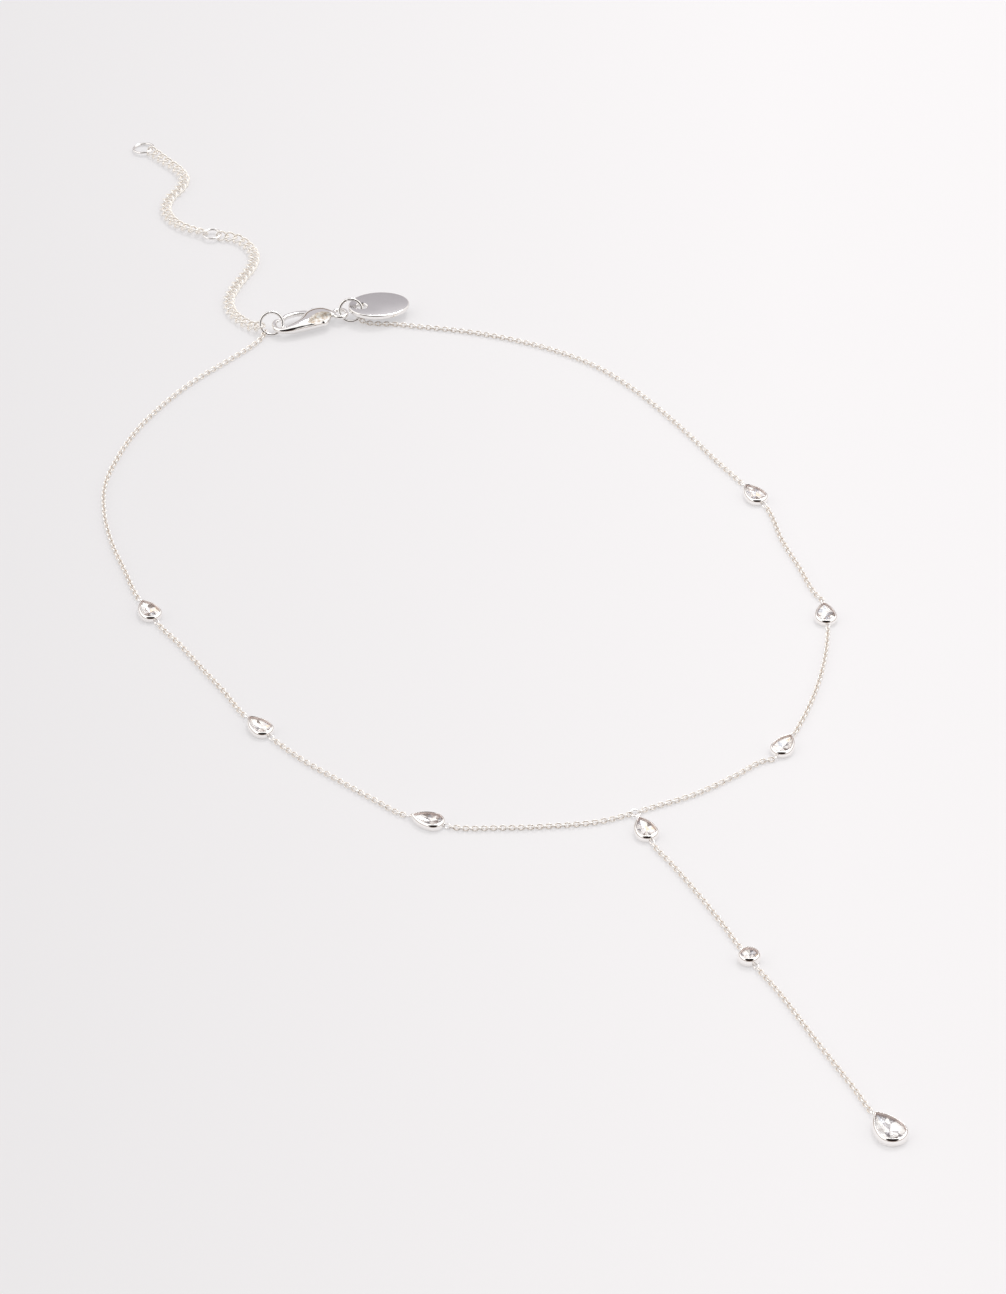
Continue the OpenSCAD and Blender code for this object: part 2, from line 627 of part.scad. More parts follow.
setting_right_back();
setting_right_side();
setting_right_front();
setting_left_front();
setting_left_side();
setting_left_back();
setting_junction();
setting_drop_round();
setting_drop_pear();
stone_right_back();
stone_right_side();
stone_right_front();
stone_left_front();
stone_left_side();
stone_left_back();
stone_junction();
stone_drop_round();
stone_drop_pear();
chain_right_back();
chain_right_side();
chain_right_mid();
chain_front_right();
chain_front_left();
chain_left_mid();
chain_left_side();
chain_left_back();
chain_drop_upper();
chain_drop_lower();
junction_ring();
clasp_ring();
hook_ring();
clasp_body();
clasp_lever();
tag();
extender_lower();
extender_ring();
extender_upper();
end_ring();
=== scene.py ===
"""Dresses the y necklace: fine silver chain, cups with clear stones, clasp, tag and extender.

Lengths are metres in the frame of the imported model: the surface is z = 0, the drop points along
-Y and the clasp lies at the back. Angles are degrees unless a name says otherwise.
"""
import logging
import math
from dataclasses import dataclass, field
from enum import Enum
from typing import Any, Mapping, Sequence

import bmesh
import bpy
import numpy as np
from mathutils import Matrix, Vector


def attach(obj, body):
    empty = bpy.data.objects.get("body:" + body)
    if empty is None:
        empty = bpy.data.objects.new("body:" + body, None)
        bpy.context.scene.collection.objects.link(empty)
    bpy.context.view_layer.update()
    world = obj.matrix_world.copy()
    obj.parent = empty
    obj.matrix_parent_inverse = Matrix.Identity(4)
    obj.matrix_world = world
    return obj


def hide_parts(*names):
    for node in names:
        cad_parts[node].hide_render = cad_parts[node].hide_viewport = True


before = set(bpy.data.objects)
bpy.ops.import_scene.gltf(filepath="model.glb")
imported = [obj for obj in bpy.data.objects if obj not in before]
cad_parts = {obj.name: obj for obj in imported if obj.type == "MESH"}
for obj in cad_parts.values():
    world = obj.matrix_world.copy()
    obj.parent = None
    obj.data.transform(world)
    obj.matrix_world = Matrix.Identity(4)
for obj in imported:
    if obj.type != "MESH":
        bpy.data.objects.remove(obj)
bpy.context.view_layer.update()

LOG = logging.getLogger("y_necklace")
Colour = tuple[float, float, float]
Socket = bpy.types.NodeSocket


def unit(vector: Sequence[float]) -> np.ndarray:
    """Returns the vector at length one."""
    v = np.asarray(vector, float)
    return v / np.linalg.norm(v)


def heading(turn: float) -> np.ndarray:
    """Returns the level direction at a turn from +X."""
    return np.array([math.cos(math.radians(turn)), math.sin(math.radians(turn)), 0.0])


class Value:
    """A socket of a node tree that takes part in arithmetic."""

    def __init__(self, graph: "Graph", socket: Socket) -> None:
        """Wraps a socket of a graph."""
        self.graph = graph
        self.socket = socket

    def _math(self, operation: str, *others: "Value | float", swapped: bool = False) -> "Value":
        """Adds a Math node.

        Args:
            operation: The Math node's operation.
            others: The operands after this one.
            swapped: True where this value is the second operand.

        Returns:
            The node's result.
        """
        operands = [self, *others]
        if swapped:
            operands.reverse()
        node = self.graph.node("ShaderNodeMath", {"operation": operation}, dict(enumerate(operands)))
        return Value(self.graph, node.outputs[0])

    def __add__(self, other: "Value | float") -> "Value":
        """Adds."""
        return self._math("ADD", other)

    def __radd__(self, other: float) -> "Value":
        """Adds, reflected."""
        return self._math("ADD", other, swapped=True)

    def __sub__(self, other: "Value | float") -> "Value":
        """Subtracts."""
        return self._math("SUBTRACT", other)

    def __rsub__(self, other: float) -> "Value":
        """Subtracts, reflected."""
        return self._math("SUBTRACT", other, swapped=True)

    def __mul__(self, other: "Value | float") -> "Value":
        """Multiplies."""
        return self._math("MULTIPLY", other)

    def __rmul__(self, other: float) -> "Value":
        """Multiplies, reflected."""
        return self._math("MULTIPLY", other, swapped=True)

    def __truediv__(self, other: "Value | float") -> "Value":
        """Divides."""
        return self._math("DIVIDE", other)

    def sine(self) -> "Value":
        """Returns the sine of a value in radians."""
        return self._math("SINE")

    def cosine(self) -> "Value":
        """Returns the cosine of a value in radians."""
        return self._math("COSINE")

    def modulo(self, other: float) -> "Value":
        """Returns the remainder of a division."""
        return self._math("MODULO", other)

    def at_least(self, other: float) -> "Value":
        """Returns the larger of this value and a number."""
        return self._math("MAXIMUM", other)

    def at_most(self, other: float) -> "Value":
        """Returns the smaller of this value and a number."""
        return self._math("MINIMUM", other)

    def clamped(self) -> "Value":
        """Returns the value kept between 0 and 1."""
        return self.at_least(0.0).at_most(1.0)

    def size(self) -> "Value":
        """Returns the value without its sign."""
        return self._math("ABSOLUTE")


class Graph:
    """Adds nodes and links to a node tree."""

    def __init__(self, tree: bpy.types.NodeTree) -> None:
        """Wraps a node tree."""
        self.tree = tree

    def node(
        self,
        kind: str,
        settings: Mapping[str, Any] | None = None,
        sockets: Mapping[int | str, Any] | None = None,
    ) -> bpy.types.Node:
        """Adds a node.

        Args:
            kind: The node's type name.
            settings: Properties of the node, set first. The key stops holds a ramp's stops.
            sockets: Values or links of its inputs, by name or number.

        Returns:
            The new node.
        """
        node = self.tree.nodes.new(kind)
        for key, setting in (settings or {}).items():
            if key == "stops":
                self._stops(node.color_ramp, setting)
            else:
                setattr(node, key, setting)
        self.feed(node, sockets or {})
        return node

    def feed(self, node: bpy.types.Node, sockets: Mapping[int | str, Any]) -> None:
        """Sets or links a node's inputs.

        Args:
            node: The node.
            sockets: Values or links, by the input's name or number.
        """
        for key, value in sockets.items():
            source = value.socket if isinstance(value, Value) else value
            if isinstance(source, Socket):
                self.tree.links.new(source, node.inputs[key])
            else:
                node.inputs[key].default_value = source

    def value(
        self,
        kind: str,
        settings: Mapping[str, Any] | None = None,
        sockets: Mapping[int | str, Any] | None = None,
        output: int | str = 0,
    ) -> Value:
        """Adds a node and returns one of its outputs.

        Args:
            kind: The node's type name.
            settings: Properties of the node.
            sockets: Values or links of its inputs.
            output: The output, by name or number.

        Returns:
            The output as a value.
        """
        return Value(self, self.node(kind, settings, sockets).outputs[output])

    def noise(self, place: Value, size: float, detail: float = 2.0) -> Value:
        """Adds a soft random pattern.

        Args:
            place: Where it is read.
            size: The size of its clouds.
            detail: How much finer detail it has.

        Returns:
            Numbers round 0.5.
        """
        return self.value(
            "ShaderNodeTexNoise", None, {"Vector": place, "Scale": 1 / size, "Detail": detail}
        )

    def bump(self, height: Value, depth: float, strength: float) -> Value:
        """Returns the surface's normal, bent by a height from 0 to 1 of that depth."""
        return self.value(
            "ShaderNodeBump", None, {"Height": height, "Distance": depth, "Strength": strength}
        )

    def mixed(self, share: Value, first: "Colour | Value", second: "Colour | Value") -> Value:
        """Mixes two colours.

        Args:
            share: How much of the second colour, from 0 to 1.
            first: The colour at 0.
            second: The colour at 1.

        Returns:
            The mixed colour.
        """
        low, high = (c if isinstance(c, Value) else (*c, 1.0) for c in (first, second))
        return self.value(
            "ShaderNodeMix", {"data_type": "RGBA"}, {"Factor": share, 6: low, 7: high}, output=2
        )

    def along(self, vector: Value, way: Sequence[float]) -> Value:
        """Returns how far a vector goes in a direction."""
        return self.value(
            "ShaderNodeVectorMath", {"operation": "DOT_PRODUCT"}, {0: vector, 1: tuple(way)}, "Value"
        )

    def parts(self, vector: Value) -> list[Value]:
        """Returns a vector's three coordinates."""
        node = self.node("ShaderNodeSeparateXYZ", None, {0: vector})
        return [Value(self, socket) for socket in node.outputs]

    @staticmethod
    def _stops(ramp: bpy.types.ColorRamp, stops: Sequence[tuple[float, Colour]]) -> None:
        """Sets the stops of a ramp whose colours meet sharply.

        Args:
            ramp: The ramp.
            stops: Positions and colours in order.
        """
        ramp.interpolation = "CONSTANT"
        while len(ramp.elements) < len(stops):
            ramp.elements.new(0.5)
        for element, (position, colour) in zip(ramp.elements, stops):
            element.position = position
            element.color = (*colour, 1.0)


def new_material(name: str) -> tuple[bpy.types.Material, Graph, bpy.types.Node]:
    """Makes an empty material.

    Args:
        name: The material's name.

    Returns:
        The material, its graph and its Principled shader.
    """
    material = bpy.data.materials.new(name)
    material.use_nodes = True
    graph = Graph(material.node_tree)
    graph.tree.nodes.clear()
    shader = graph.node("ShaderNodeBsdfPrincipled")
    graph.node("ShaderNodeOutputMaterial", None, {"Surface": shader.outputs[0]})
    return material, graph, shader


@dataclass(frozen=True)
class Silver:
    """Polished silver plate, with a painted warm shade where links and walls hide one another from the light.
    """

    name: str
    tone: Colour = (0.94, 0.925, 0.91)
    shade: Colour = (0.42, 0.35, 0.29)
    shade_share: float = 0.75
    roughness: float = 0.07
    haze: float = 0.08
    patina: float = 0.06
    contrast: float = 1.0
    metallic: float = 1.0
    cloud_size: float = 0.0016
    cloud_share: float = 0.6
    # Extra roughness where the painted shade lies.
    painted_shade_haze: float = 0.1
    mark_size: float = 0.00012
    mark_depth: float = 0.0000016
    mark_strength: float = 0.35

    def material(self) -> bpy.types.Material:
        """Makes the finish.

        Returns:
            The material.
        """
        material, graph, shader = new_material(self.name)
        place = graph.value("ShaderNodeTexCoord", output="Object")
        clouds = graph.noise(place, self.cloud_size)
        marks = graph.noise(place, self.mark_size, 3.0)
        # Painted shade: each point's amount darkens it towards the shade colour and roughens it.
        painted_shade = graph.value("ShaderNodeAttribute", {"attribute_name": "painted_shade"}, output="Fac")
        mottle = self.patina * ((clouds - 0.5) * self.contrast + 0.5)
        uneven = (1 - self.cloud_share / 2) + self.cloud_share * clouds
        share = (painted_shade * self.shade_share * uneven + mottle).clamped()
        graph.feed(shader, {
            "Base Color": graph.mixed(share, self.tone, self.shade),
            "Roughness": self.roughness + self.haze * clouds + self.painted_shade_haze * painted_shade,
            "Normal": graph.bump(marks, self.mark_depth, self.mark_strength),
            "Metallic": self.metallic,
        })
        return material


@dataclass(frozen=True)
class SatinSilver:
    """Flat silver with fine brush lines along the piece."""

    name: str
    tone: Colour = (0.74, 0.722, 0.722)
    dull: Colour = (0.61, 0.598, 0.598)
    roughness: float = 0.16
    line_width: float = 0.00007
    line_length: float = 0.003
    line_turn: float = 0.0
    line_depth: float = 0.000002
    line_strength: float = 0.4
    line_share: float = 0.6
    line_haze: float = 0.1
    cloud_size: float = 0.002

    def material(self) -> bpy.types.Material:
        """Makes the finish.

        Returns:
            The material.
        """
        material, graph, shader = new_material(self.name)
        place = graph.value("ShaderNodeTexCoord", output="Object")
        turned = graph.value(
            "ShaderNodeMapping",
            {"vector_type": "TEXTURE"},
            {
                "Vector": place,
                "Rotation": (0.0, 0.0, math.radians(self.line_turn)),
                "Scale": (self.line_length, self.line_width, self.line_width),
            },
        )
        lines = graph.noise(turned, 1.0)
        clouds = graph.noise(place, self.cloud_size)
        share = (self.line_share * lines + (1 - self.line_share) * clouds).clamped()
        graph.feed(shader, {
            "Base Color": graph.mixed(share, self.tone, self.dull),
            "Roughness": self.roughness + self.line_haze * lines,
            "Normal": graph.bump(lines, self.line_depth, self.line_strength),
            "Metallic": 1.0,
        })
        return material


@dataclass(frozen=True)
class ClearStone:
    """Clear cut stone with bright, hard facets."""

    name: str
    tint: Colour = (0.985, 0.985, 0.99)
    smoke: Colour = (0.93, 0.925, 0.93)
    index: float = 1.3
    roughness: float = 0.0
    cloud_size: float = 0.0012

    def material(self) -> bpy.types.Material:
        """Makes the finish.

        Returns:
            The material.
        """
        material, graph, shader = new_material(self.name)
        place = graph.value("ShaderNodeTexCoord", output="Object")
        graph.feed(shader, {
            "Base Color": graph.mixed(graph.noise(place, self.cloud_size), self.tint, self.smoke),
            "Roughness": self.roughness, "Transmission Weight": 1.0, "IOR": self.index,
        })
        return material


@dataclass(frozen=True)
class PaintedStoneBack:
    """The back facets of a stone, each painted with a reflection from a ramp of whites, greys and browns, and
    with a painted glow.
    """

    name: str
    # The painted reflections' colours along the ramp.
    tones: tuple[tuple[float, Colour], ...] = (
        (0.0, (1.0, 1.0, 1.0)), (0.22, (0.62, 0.64, 0.69)), (0.29, (1.0, 0.99, 0.96)),
        (0.38, (0.42, 0.41, 0.43)), (0.43, (0.92, 0.91, 0.89)), (0.52, (0.3, 0.28, 0.29)),
        (0.57, (0.8, 0.77, 0.75)), (0.65, (0.46, 0.4, 0.38)), (0.71, (0.92, 0.89, 0.84)),
        (0.79, (0.26, 0.22, 0.2)), (0.84, (0.72, 0.69, 0.7)), (0.91, (0.93, 0.8, 0.66)),
    )
    roughness: float = 0.25
    metallic: float = 0.6
    glow: float = 0.28

    def material(self) -> bpy.types.Material:
        """Makes the finish.

        Returns:
            The material.
        """
        material, graph, shader = new_material(self.name)
        painted_reflection = graph.value("ShaderNodeAttribute", {"attribute_name": "painted_reflection"}, output="Fac")
        # Painted reflections: each facet's number picks a white, grey or brown, which also glows.
        tone = graph.value("ShaderNodeValToRGB", {"stops": self.tones}, {0: painted_reflection})
        graph.feed(shader, {
            "Base Color": tone, "Emission Color": tone, "Emission Strength": self.glow,
            "Roughness": self.roughness, "Metallic": self.metallic,
        })
        return material


class Finish(Enum):
    """The finishes of the necklace's pieces, some with painted shade, painted reflections and a painted glow.
    """

    SETTING = Silver("cup_finish", tone=(0.98, 0.965, 0.95), shade=(0.8, 0.7, 0.66), roughness=0.04,
                     haze=0.04)
    # The cup's inner wall: a darker mauve colour and duller shine, as painted shade in the hollow.
    SEAT_PAINTED_SHADE = Silver("seat_painted_shade", tone=(0.86, 0.74, 0.7), shade=(0.74, 0.6, 0.56), roughness=0.35,
                  metallic=0.4)
    CHAIN = Silver("chain_finish", tone=(1.0, 0.985, 0.955), shade=(0.72, 0.57, 0.43), shade_share=0.7,
                   roughness=0.25, haze=0.1, metallic=0.6)
    EXTENDER = Silver("extender_finish", tone=(1.0, 0.98, 0.94), shade=(0.88, 0.76, 0.64),
                      shade_share=0.6, roughness=0.3, metallic=0.35)
    RING = Silver("ring_finish", tone=(0.98, 0.965, 0.95), shade_share=0.35, roughness=0.13)
    CLASP = Silver("clasp_finish", roughness=0.05)
    POCKET = Silver("pocket_finish", tone=(1.0, 1.0, 0.98), shade=(0.62, 0.48, 0.34), roughness=0.3,
                    patina=0.5, contrast=6.0, metallic=0.5, cloud_size=0.0005, mark_size=0.0006,
                    mark_depth=0.0002)
    TAG = SatinSilver("tag_finish", line_turn=-8.0)
    STONE = ClearStone("stone_finish")
    PAINTED_STONE_BACK = PaintedStoneBack("stone_back_painted_reflections")

    def material(self) -> bpy.types.Material:
        """Returns the finish's material, made once."""
        return bpy.data.materials.get(self.value.name) or self.value.material()


class Shell:
    """Collects closed surfaces and turns them into one mesh object."""

    def __init__(self) -> None:
        """Starts empty."""
        self.points: list[np.ndarray] = []
        self.faces: list[list[int]] = []
        self.slots: list[int] = []
        self.painted_shades: list[np.ndarray] = []
        self.count = 0

    def loft(
        self,
        rows: np.ndarray,
        closed: bool = False,
        painted_shade: "np.ndarray | float" = 0.0,
        slots: Sequence[int] | None = None,
    ) -> None:
        """Adds a surface over rows of points, each a loop with the same number of points.

        Args:
            rows: An array of rows, points and coordinates.
            closed: True joins the last row to the first, and False closes both ends.
            painted_shade: How much painted shade each point gets, from 0 to 1, as numbers that spread over
                the rows.
            slots: The material slot of the band after each row.
        """
        total, n = rows.shape[:2]
        bands = total if closed else total - 1
        for r in range(bands):
            a = self.count + r * n
            b = self.count + (r + 1) % total * n
            for i in range(n):
                j = (i + 1) % n
                self.faces.append([a + i, a + j, b + j, b + i])
                self.slots.append(slots[r] if slots is not None else 0)
        if not closed:
            last = self.count + (total - 1) * n
            self.faces.append([self.count + i for i in reversed(range(n))])
            self.faces.append([last + i for i in range(n)])
            self.slots.extend([0, 0])
        self.points.append(rows.reshape(-1, 3))
        self.painted_shades.append((np.zeros((total, n)) + painted_shade).ravel())
        self.count += total * n

    def ring(self, at: Sequence[float], turn: Matrix, radius: float, wire: float, flat: float = 1.0,
             around: int = 24, sides: int = 10, painted_shade: float = 0.35) -> None:
        """Adds a closed ring, round or oval.

        Args:
            at: Its centre.
            turn: The rotation of its plane from the level one.
            radius: Radius of the wire's centre line, along its length.
            wire: Diameter of the wire.
            flat: Its width as a share of its length.
            around: Points round the ring.
            sides: Sides of the wire.
            painted_shade: How much painted shade its inner side gets.
        """
        a = np.radians(np.arange(around) * 360 / around)[:, None]
        b = np.radians(np.arange(sides) * 360 / sides)[None, :]
        out = np.stack([flat * np.cos(a), np.sin(a)], axis=2)
        out = out / np.linalg.norm(out, axis=2)[:, :, None] * (wire / 2 * np.cos(b))[:, :, None]
        rows = np.stack([radius * np.cos(a) + out[:, :, 0], flat * radius * np.sin(a) + out[:, :, 1],
                         wire / 2 * np.sin(b) + 0 * a], axis=2)
        rows = rows @ np.array(turn.to_3x3()).T + np.asarray(at, float)
        # Painted shade on the wire's inner side, facing the ring's middle.
        inner = np.clip(-np.cos(b[0, ::-1]), 0, 1) * painted_shade
        self.loft(rows[:, ::-1], closed=True, painted_shade=inner)

    def build(self, name: str, *finishes: Finish, sharp: float = 40.0) -> bpy.types.Object:
        """Makes the object.

        Args:
            name: The object's name.
            finishes: One finish for each material slot.
            sharp: Angle between faces past which an edge stays sharp.

        Returns:
            The object, in the scene.
        """
        mesh = bpy.data.meshes.new(name)
        mesh.from_pydata(np.concatenate(self.points).tolist(), [], self.faces)
        mesh.polygons.foreach_set("material_index", self.slots)
        mesh.polygons.foreach_set("use_smooth", [True] * len(self.faces))
        # Stores the painted shade of each point, which the finishes darken by.
        shade_amount = mesh.attributes.new("painted_shade", "FLOAT", "POINT")
        shade_amount.data.foreach_set("value", np.concatenate(self.painted_shades).astype(np.float32))
        mesh.set_sharp_from_angle(angle=math.radians(sharp))
        return show(mesh, name, *finishes)


def show(mesh: bpy.types.Mesh, name: str, *finishes: Finish) -> bpy.types.Object:
    """Puts a mesh into the scene with its faces outwards.

    Args:
        mesh: The mesh, in place.
        name: The object's name.
        finishes: One finish for each material slot, where the mesh has none of its own.

    Returns:
        The object.
    """
    shape = bmesh.new()
    shape.from_mesh(mesh)
    if shape.calc_volume(signed=True) < 0:
        bmesh.ops.reverse_faces(shape, faces=shape.faces)
        shape.to_mesh(mesh)
    shape.free()
    if not mesh.materials:
        for finish in finishes:
            mesh.materials.append(finish.material())
    thing = bpy.data.objects.new(name, mesh)
    bpy.context.scene.collection.objects.link(thing)
    return thing


def settle(thing: bpy.types.Object, body: str, slot: str, *nodes: str) -> None:
    """Tells the frame what a finished piece is.

    Args:
        thing: The piece.
        body: The body that it rides on.
        slot: Not used.
        nodes: The solids that it stands for.
    """
    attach(thing, body)
    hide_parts(*nodes)
    LOG.info("%s: %d faces on %s", thing.name, len(thing.data.polygons), body)


def cut_and_joined(base: bpy.types.Object, cuts: Sequence[bpy.types.Object],
                   joins: Sequence[bpy.types.Object]) -> bpy.types.Mesh:
    """Cuts and joins solids.

    Args:
        base: The solid to start from.
        cuts: Solids taken away first.
        joins: Solids added after.

    Returns:
        The new mesh. The solids are removed.
    """
    for tool, operation in [(c, "DIFFERENCE") for c in cuts] + [(j, "UNION") for j in joins]:
        modifier = base.modifiers.new(tool.name, "BOOLEAN")
        modifier.operation = operation
        modifier.solver = "EXACT"
        modifier.object = tool
    depsgraph = bpy.context.evaluated_depsgraph_get()
    mesh = bpy.data.meshes.new_from_object(base.evaluated_get(depsgraph))
    for thing in [base, *cuts, *joins]:
        bpy.data.objects.remove(thing)
    return mesh


def smooth_line(points: np.ndarray, steps: int) -> np.ndarray:
    """Smooths a run of rows of numbers.

    Args:
        points: The rows that it goes through.
        steps: The count of steps from each row to the next.

    Returns:
        All the rows in order, those in between included.
    """
    p = np.vstack([2 * points[0] - points[1], points, 2 * points[-1] - points[-2]])
    out = []
    for i in range(1, len(p) - 2):
        for s in range(steps):
            t = s / steps
            out.append(
                0.5 * (2 * p[i] + (p[i + 1] - p[i - 1]) * t
                       + (2 * p[i - 1] - 5 * p[i] + 4 * p[i + 1] - p[i + 2]) * t * t
                       + (3 * p[i] - p[i - 1] - 3 * p[i + 1] + p[i + 2]) * t * t * t)
            )
    out.append(points[-1])
    return np.array(out)


@dataclass
class FineChain:
    """The small oval links of the fine chain, and the plain solids that they stand for."""

    link_length: float = 0.00126
    link_width: float = 0.00096
    wire: float = 0.00022
    gap: float = 0.00011
    roll: float = 45.0
    jitter: float = 4.0
    end_width: float = 1.5
    seed: int = 7
    round_points: int = 20
    wire_points: int = 8
    solid_d: float = 0.0013
    solid_wire: float = 0.00022

    def half_length(self) -> float:
        """Returns half the length of the wire's centre line."""
        return (self.link_length - self.wire) / 2

    def half_width(self) -> float:
        """Returns half the width of the wire's centre line."""
        return (self.link_width - self.wire) / 2

    def height(self) -> float:
        """Returns the height of the links' centres above the surface."""
        return self.half_width() * math.sin(math.radians(self.roll)) + self.wire / 2

    def solid_height(self) -> float:
        """Returns the height of the solids' centres above the surface."""
        rise = (self.solid_d - self.solid_wire) / 2 * math.sin(math.radians(self.roll))
        return rise + self.solid_wire / 2

    def pitch(self) -> float:
        """Returns the spacing of the links."""
        return self.link_length - 2 * self.wire - self.gap


@dataclass
class Place:
    """Where a setting lies: its centre, its turn from tip to round end, and its length."""

    x: float
    y: float
    turn: float
    length: float
    fine: FineChain = field(default_factory=FineChain)
    solder_depth: float = 0.00016

    def reach(self) -> float:
        """Returns the distance from the middle to a soldered ring's centre."""
        return self.length / 2 + self.fine.solid_d / 2 - self.solder_depth

    def ring_at(self, end: int) -> np.ndarray:
        """Returns the centre of the soldered ring at the round end (1) or the tip (-1)."""
        return np.array([self.x, self.y, self.fine.height()]) + end * self.reach() * heading(self.turn)

    def matrix(self) -> Matrix:
        """Returns the place as a matrix."""
        return Matrix.Translation((self.x, self.y, 0.0)) @ Matrix.Rotation(math.radians(self.turn), 4, "Z")


@dataclass
class Stretch:
    """A stretch of chain: a smooth curve, and the distances of its first and last link."""

    curve: np.ndarray
    first: float
    last: float

    STEPS = 8

    @classmethod
    def through(cls, start: np.ndarray, start_way: Sequence[float], first: float,
                points: Sequence[tuple[float, float]], height: float,
                end: np.ndarray, end_way: Sequence[float], last: float) -> "Stretch":
        """Makes the curve through a route's points, level between its two ends.

        Args:
            start: Where it starts.
            start_way: Its direction there.
            first: Distance from the start to the first link.
            points: The route's points.
            height: Their height.
            end: Where it ends.
            end_way: Its direction there.
            last: Distance from the last link to the end.

        Returns:
            The stretch.
        """
        p = np.array([start, *[(x, y, height) for x, y in points], end], float)
        ways = [unit(start_way)]
        for i in range(1, len(p) - 1):
            back, ahead = p[i] - p[i - 1], p[i + 1] - p[i]
            way = unit(back) * np.linalg.norm(ahead) + unit(ahead) * np.linalg.norm(back)
            ways.append(unit([way[0], way[1], 0.0]))
        ways.append(unit(end_way))
        curve = []
        for i in range(len(p) - 1):
            span = np.linalg.norm(p[i + 1] - p[i])
            for t in np.arange(cls.STEPS) / cls.STEPS:
                curve.append(
                    (2 * t**3 - 3 * t**2 + 1) * p[i] + (t**3 - 2 * t**2 + t) * span * ways[i]
                    + (3 * t**2 - 2 * t**3) * p[i + 1] + (t**3 - t**2) * span * ways[i + 1]
                )
        curve.append(p[-1])
        line = np.array(curve)
        length = np.linalg.norm(np.diff(line, axis=0), axis=1).sum()
        return cls(line, first, length - last)

    def span(self) -> float:
        """Returns the distance from the first link to the last."""
        return self.last - self.first

    def fine_links(self, pitch: float, extra: int = 0) -> int:
        """Returns the count of fine links: even, or odd where extra is 1."""
        return 2 * math.ceil((self.span() / pitch + 1 - extra) / 2) + extra

    def curb_links(self, pitch: float) -> int:
        """Returns the count of curb links."""
        return math.ceil(self.span() / pitch - 0.5) + 1

    def path(self) -> bpy.types.Mesh:
        """Cuts out the run from the first link to the last.

        Returns:
            The run as a mesh of edges.
        """
        run = np.concatenate([[0.0], np.cumsum(np.linalg.norm(np.diff(self.curve, axis=0), axis=1))])
        inside = run[(run > self.first + 1e-6) & (run < self.last - 1e-6)]
        at = np.concatenate([[self.first], inside, [self.last]])
        points = np.stack([np.interp(at, run, self.curve[:, k]) for k in range(3)], axis=1)
        mesh = bpy.data.meshes.new("path")
        mesh.from_pydata(points.tolist(), [(i, i + 1) for i in range(len(at) - 1)], [])
        return mesh


@dataclass
class CurbChain:
    """The twisted oval links of the extender."""

    length: float = 0.0024
    width: float = 0.0021
    wire: float = 0.00035
    pitch: float = 0.00145
    twist: float = -45.0
    end_roll: float = 20.0
    ease: float = 4.0
    rest_share: float = 0.385
    lift_share: float = 0.011
    round_points: int = 24
    wire_points: int = 8

    def half_length(self) -> float:
        """Returns half the length of the wire's centre line."""
        return (self.length - self.wire) / 2

    def half_width(self) -> float:
        """Returns half the width of the wire's centre line."""
        return (self.width - self.wire) / 2

    def height(self) -> float:
        """Returns the height of the links' centres above the surface."""
        return self.rest_share * self.half_width() + self.wire / 2

    def lift(self) -> float:
        """Returns how far a link rises for each degree that it rolls."""
        return self.lift_share * self.half_width()

    def hold(self) -> float:
        """Returns the distance from an end link's middle to the wire that it holds."""
        return (self.half_length() - self.wire / 2) / 2


@dataclass
class WireRing:
    """A loose ring of wire: centre, size, lean about X, turn about Z and the place of its joint."""

    name: str
    at: np.ndarray
    outer_d: float
    wire: float
    lean: float = 0.0
    turn: float = 0.0
    tip: float = 0.0
    seam: float = 0.0
    seam_gap: float = 0.00004
    end_share: float = 0.86
    # How much painted shade the wire's inner side gets.
    painted_shade: float = 0.25

    def radius(self) -> float:
        """Returns the radius of the wire's centre line."""
        return (self.outer_d - self.wire) / 2

    def point(self, angle: float) -> np.ndarray:
        """Finds a point of the wire's centre line on a ring that leans about X.

        Args:
            angle: How far round the ring it is.

        Returns:
            The point.
        """
        a, lean, turn = (math.radians(x) for x in (angle, self.lean, self.turn))
        across = np.array([math.cos(turn), math.sin(turn), 0.0])
        up = np.array([-math.sin(turn) * math.cos(lean), math.cos(turn) * math.cos(lean), math.sin(lean)])
        return self.at + self.radius() * (math.cos(a) * across + math.sin(a) * up)

    def matrix(self) -> Matrix:
        """Turns the ring's place into a matrix.

        Returns:
            The matrix.
        """
        turn = Matrix.Rotation(math.radians(self.turn), 4, "Z")
        tip = Matrix.Rotation(math.radians(self.tip), 4, "Y")
        lean = Matrix.Rotation(math.radians(self.lean), 4, "X")
        return Matrix.Translation(Vector(self.at)) @ turn @ tip @ lean

    def build(self, around: int = 96, sides: int = 16) -> None:
        """Makes the ring as a bent wire whose two ends nearly meet.

        Args:
            around: Points along the wire.
            sides: Sides of the wire.
        """
        open_angle = math.degrees(self.seam_gap / self.radius())
        a = np.radians(np.linspace(self.seam + open_angle / 2, self.seam + 360 - open_angle / 2, around))
        b = np.radians(np.arange(sides) * 360 / sides)
        ends = np.ones(around)
        ends[[0, -1]] = self.end_share
        ease = self.wire / 2 * ends[:, None]
        r = self.radius() + ease * np.cos(b)[None, :]
        rows = np.stack([r * np.cos(a)[:, None], r * np.sin(a)[:, None], ease * np.sin(b)[None, :]], axis=2)
        matrix = np.array(self.matrix())
        rows = rows @ matrix[:3, :3].T + matrix[:3, 3]
        shell = Shell()
        # Painted shade on the wire's inner side.
        shell.loft(rows, painted_shade=np.clip(-np.cos(b), 0, 1) * self.painted_shade)
        ring = shell.build(f"{self.name}_wire", Finish.RING)
        settle(ring, "necklace", "ring_silver", self.name)


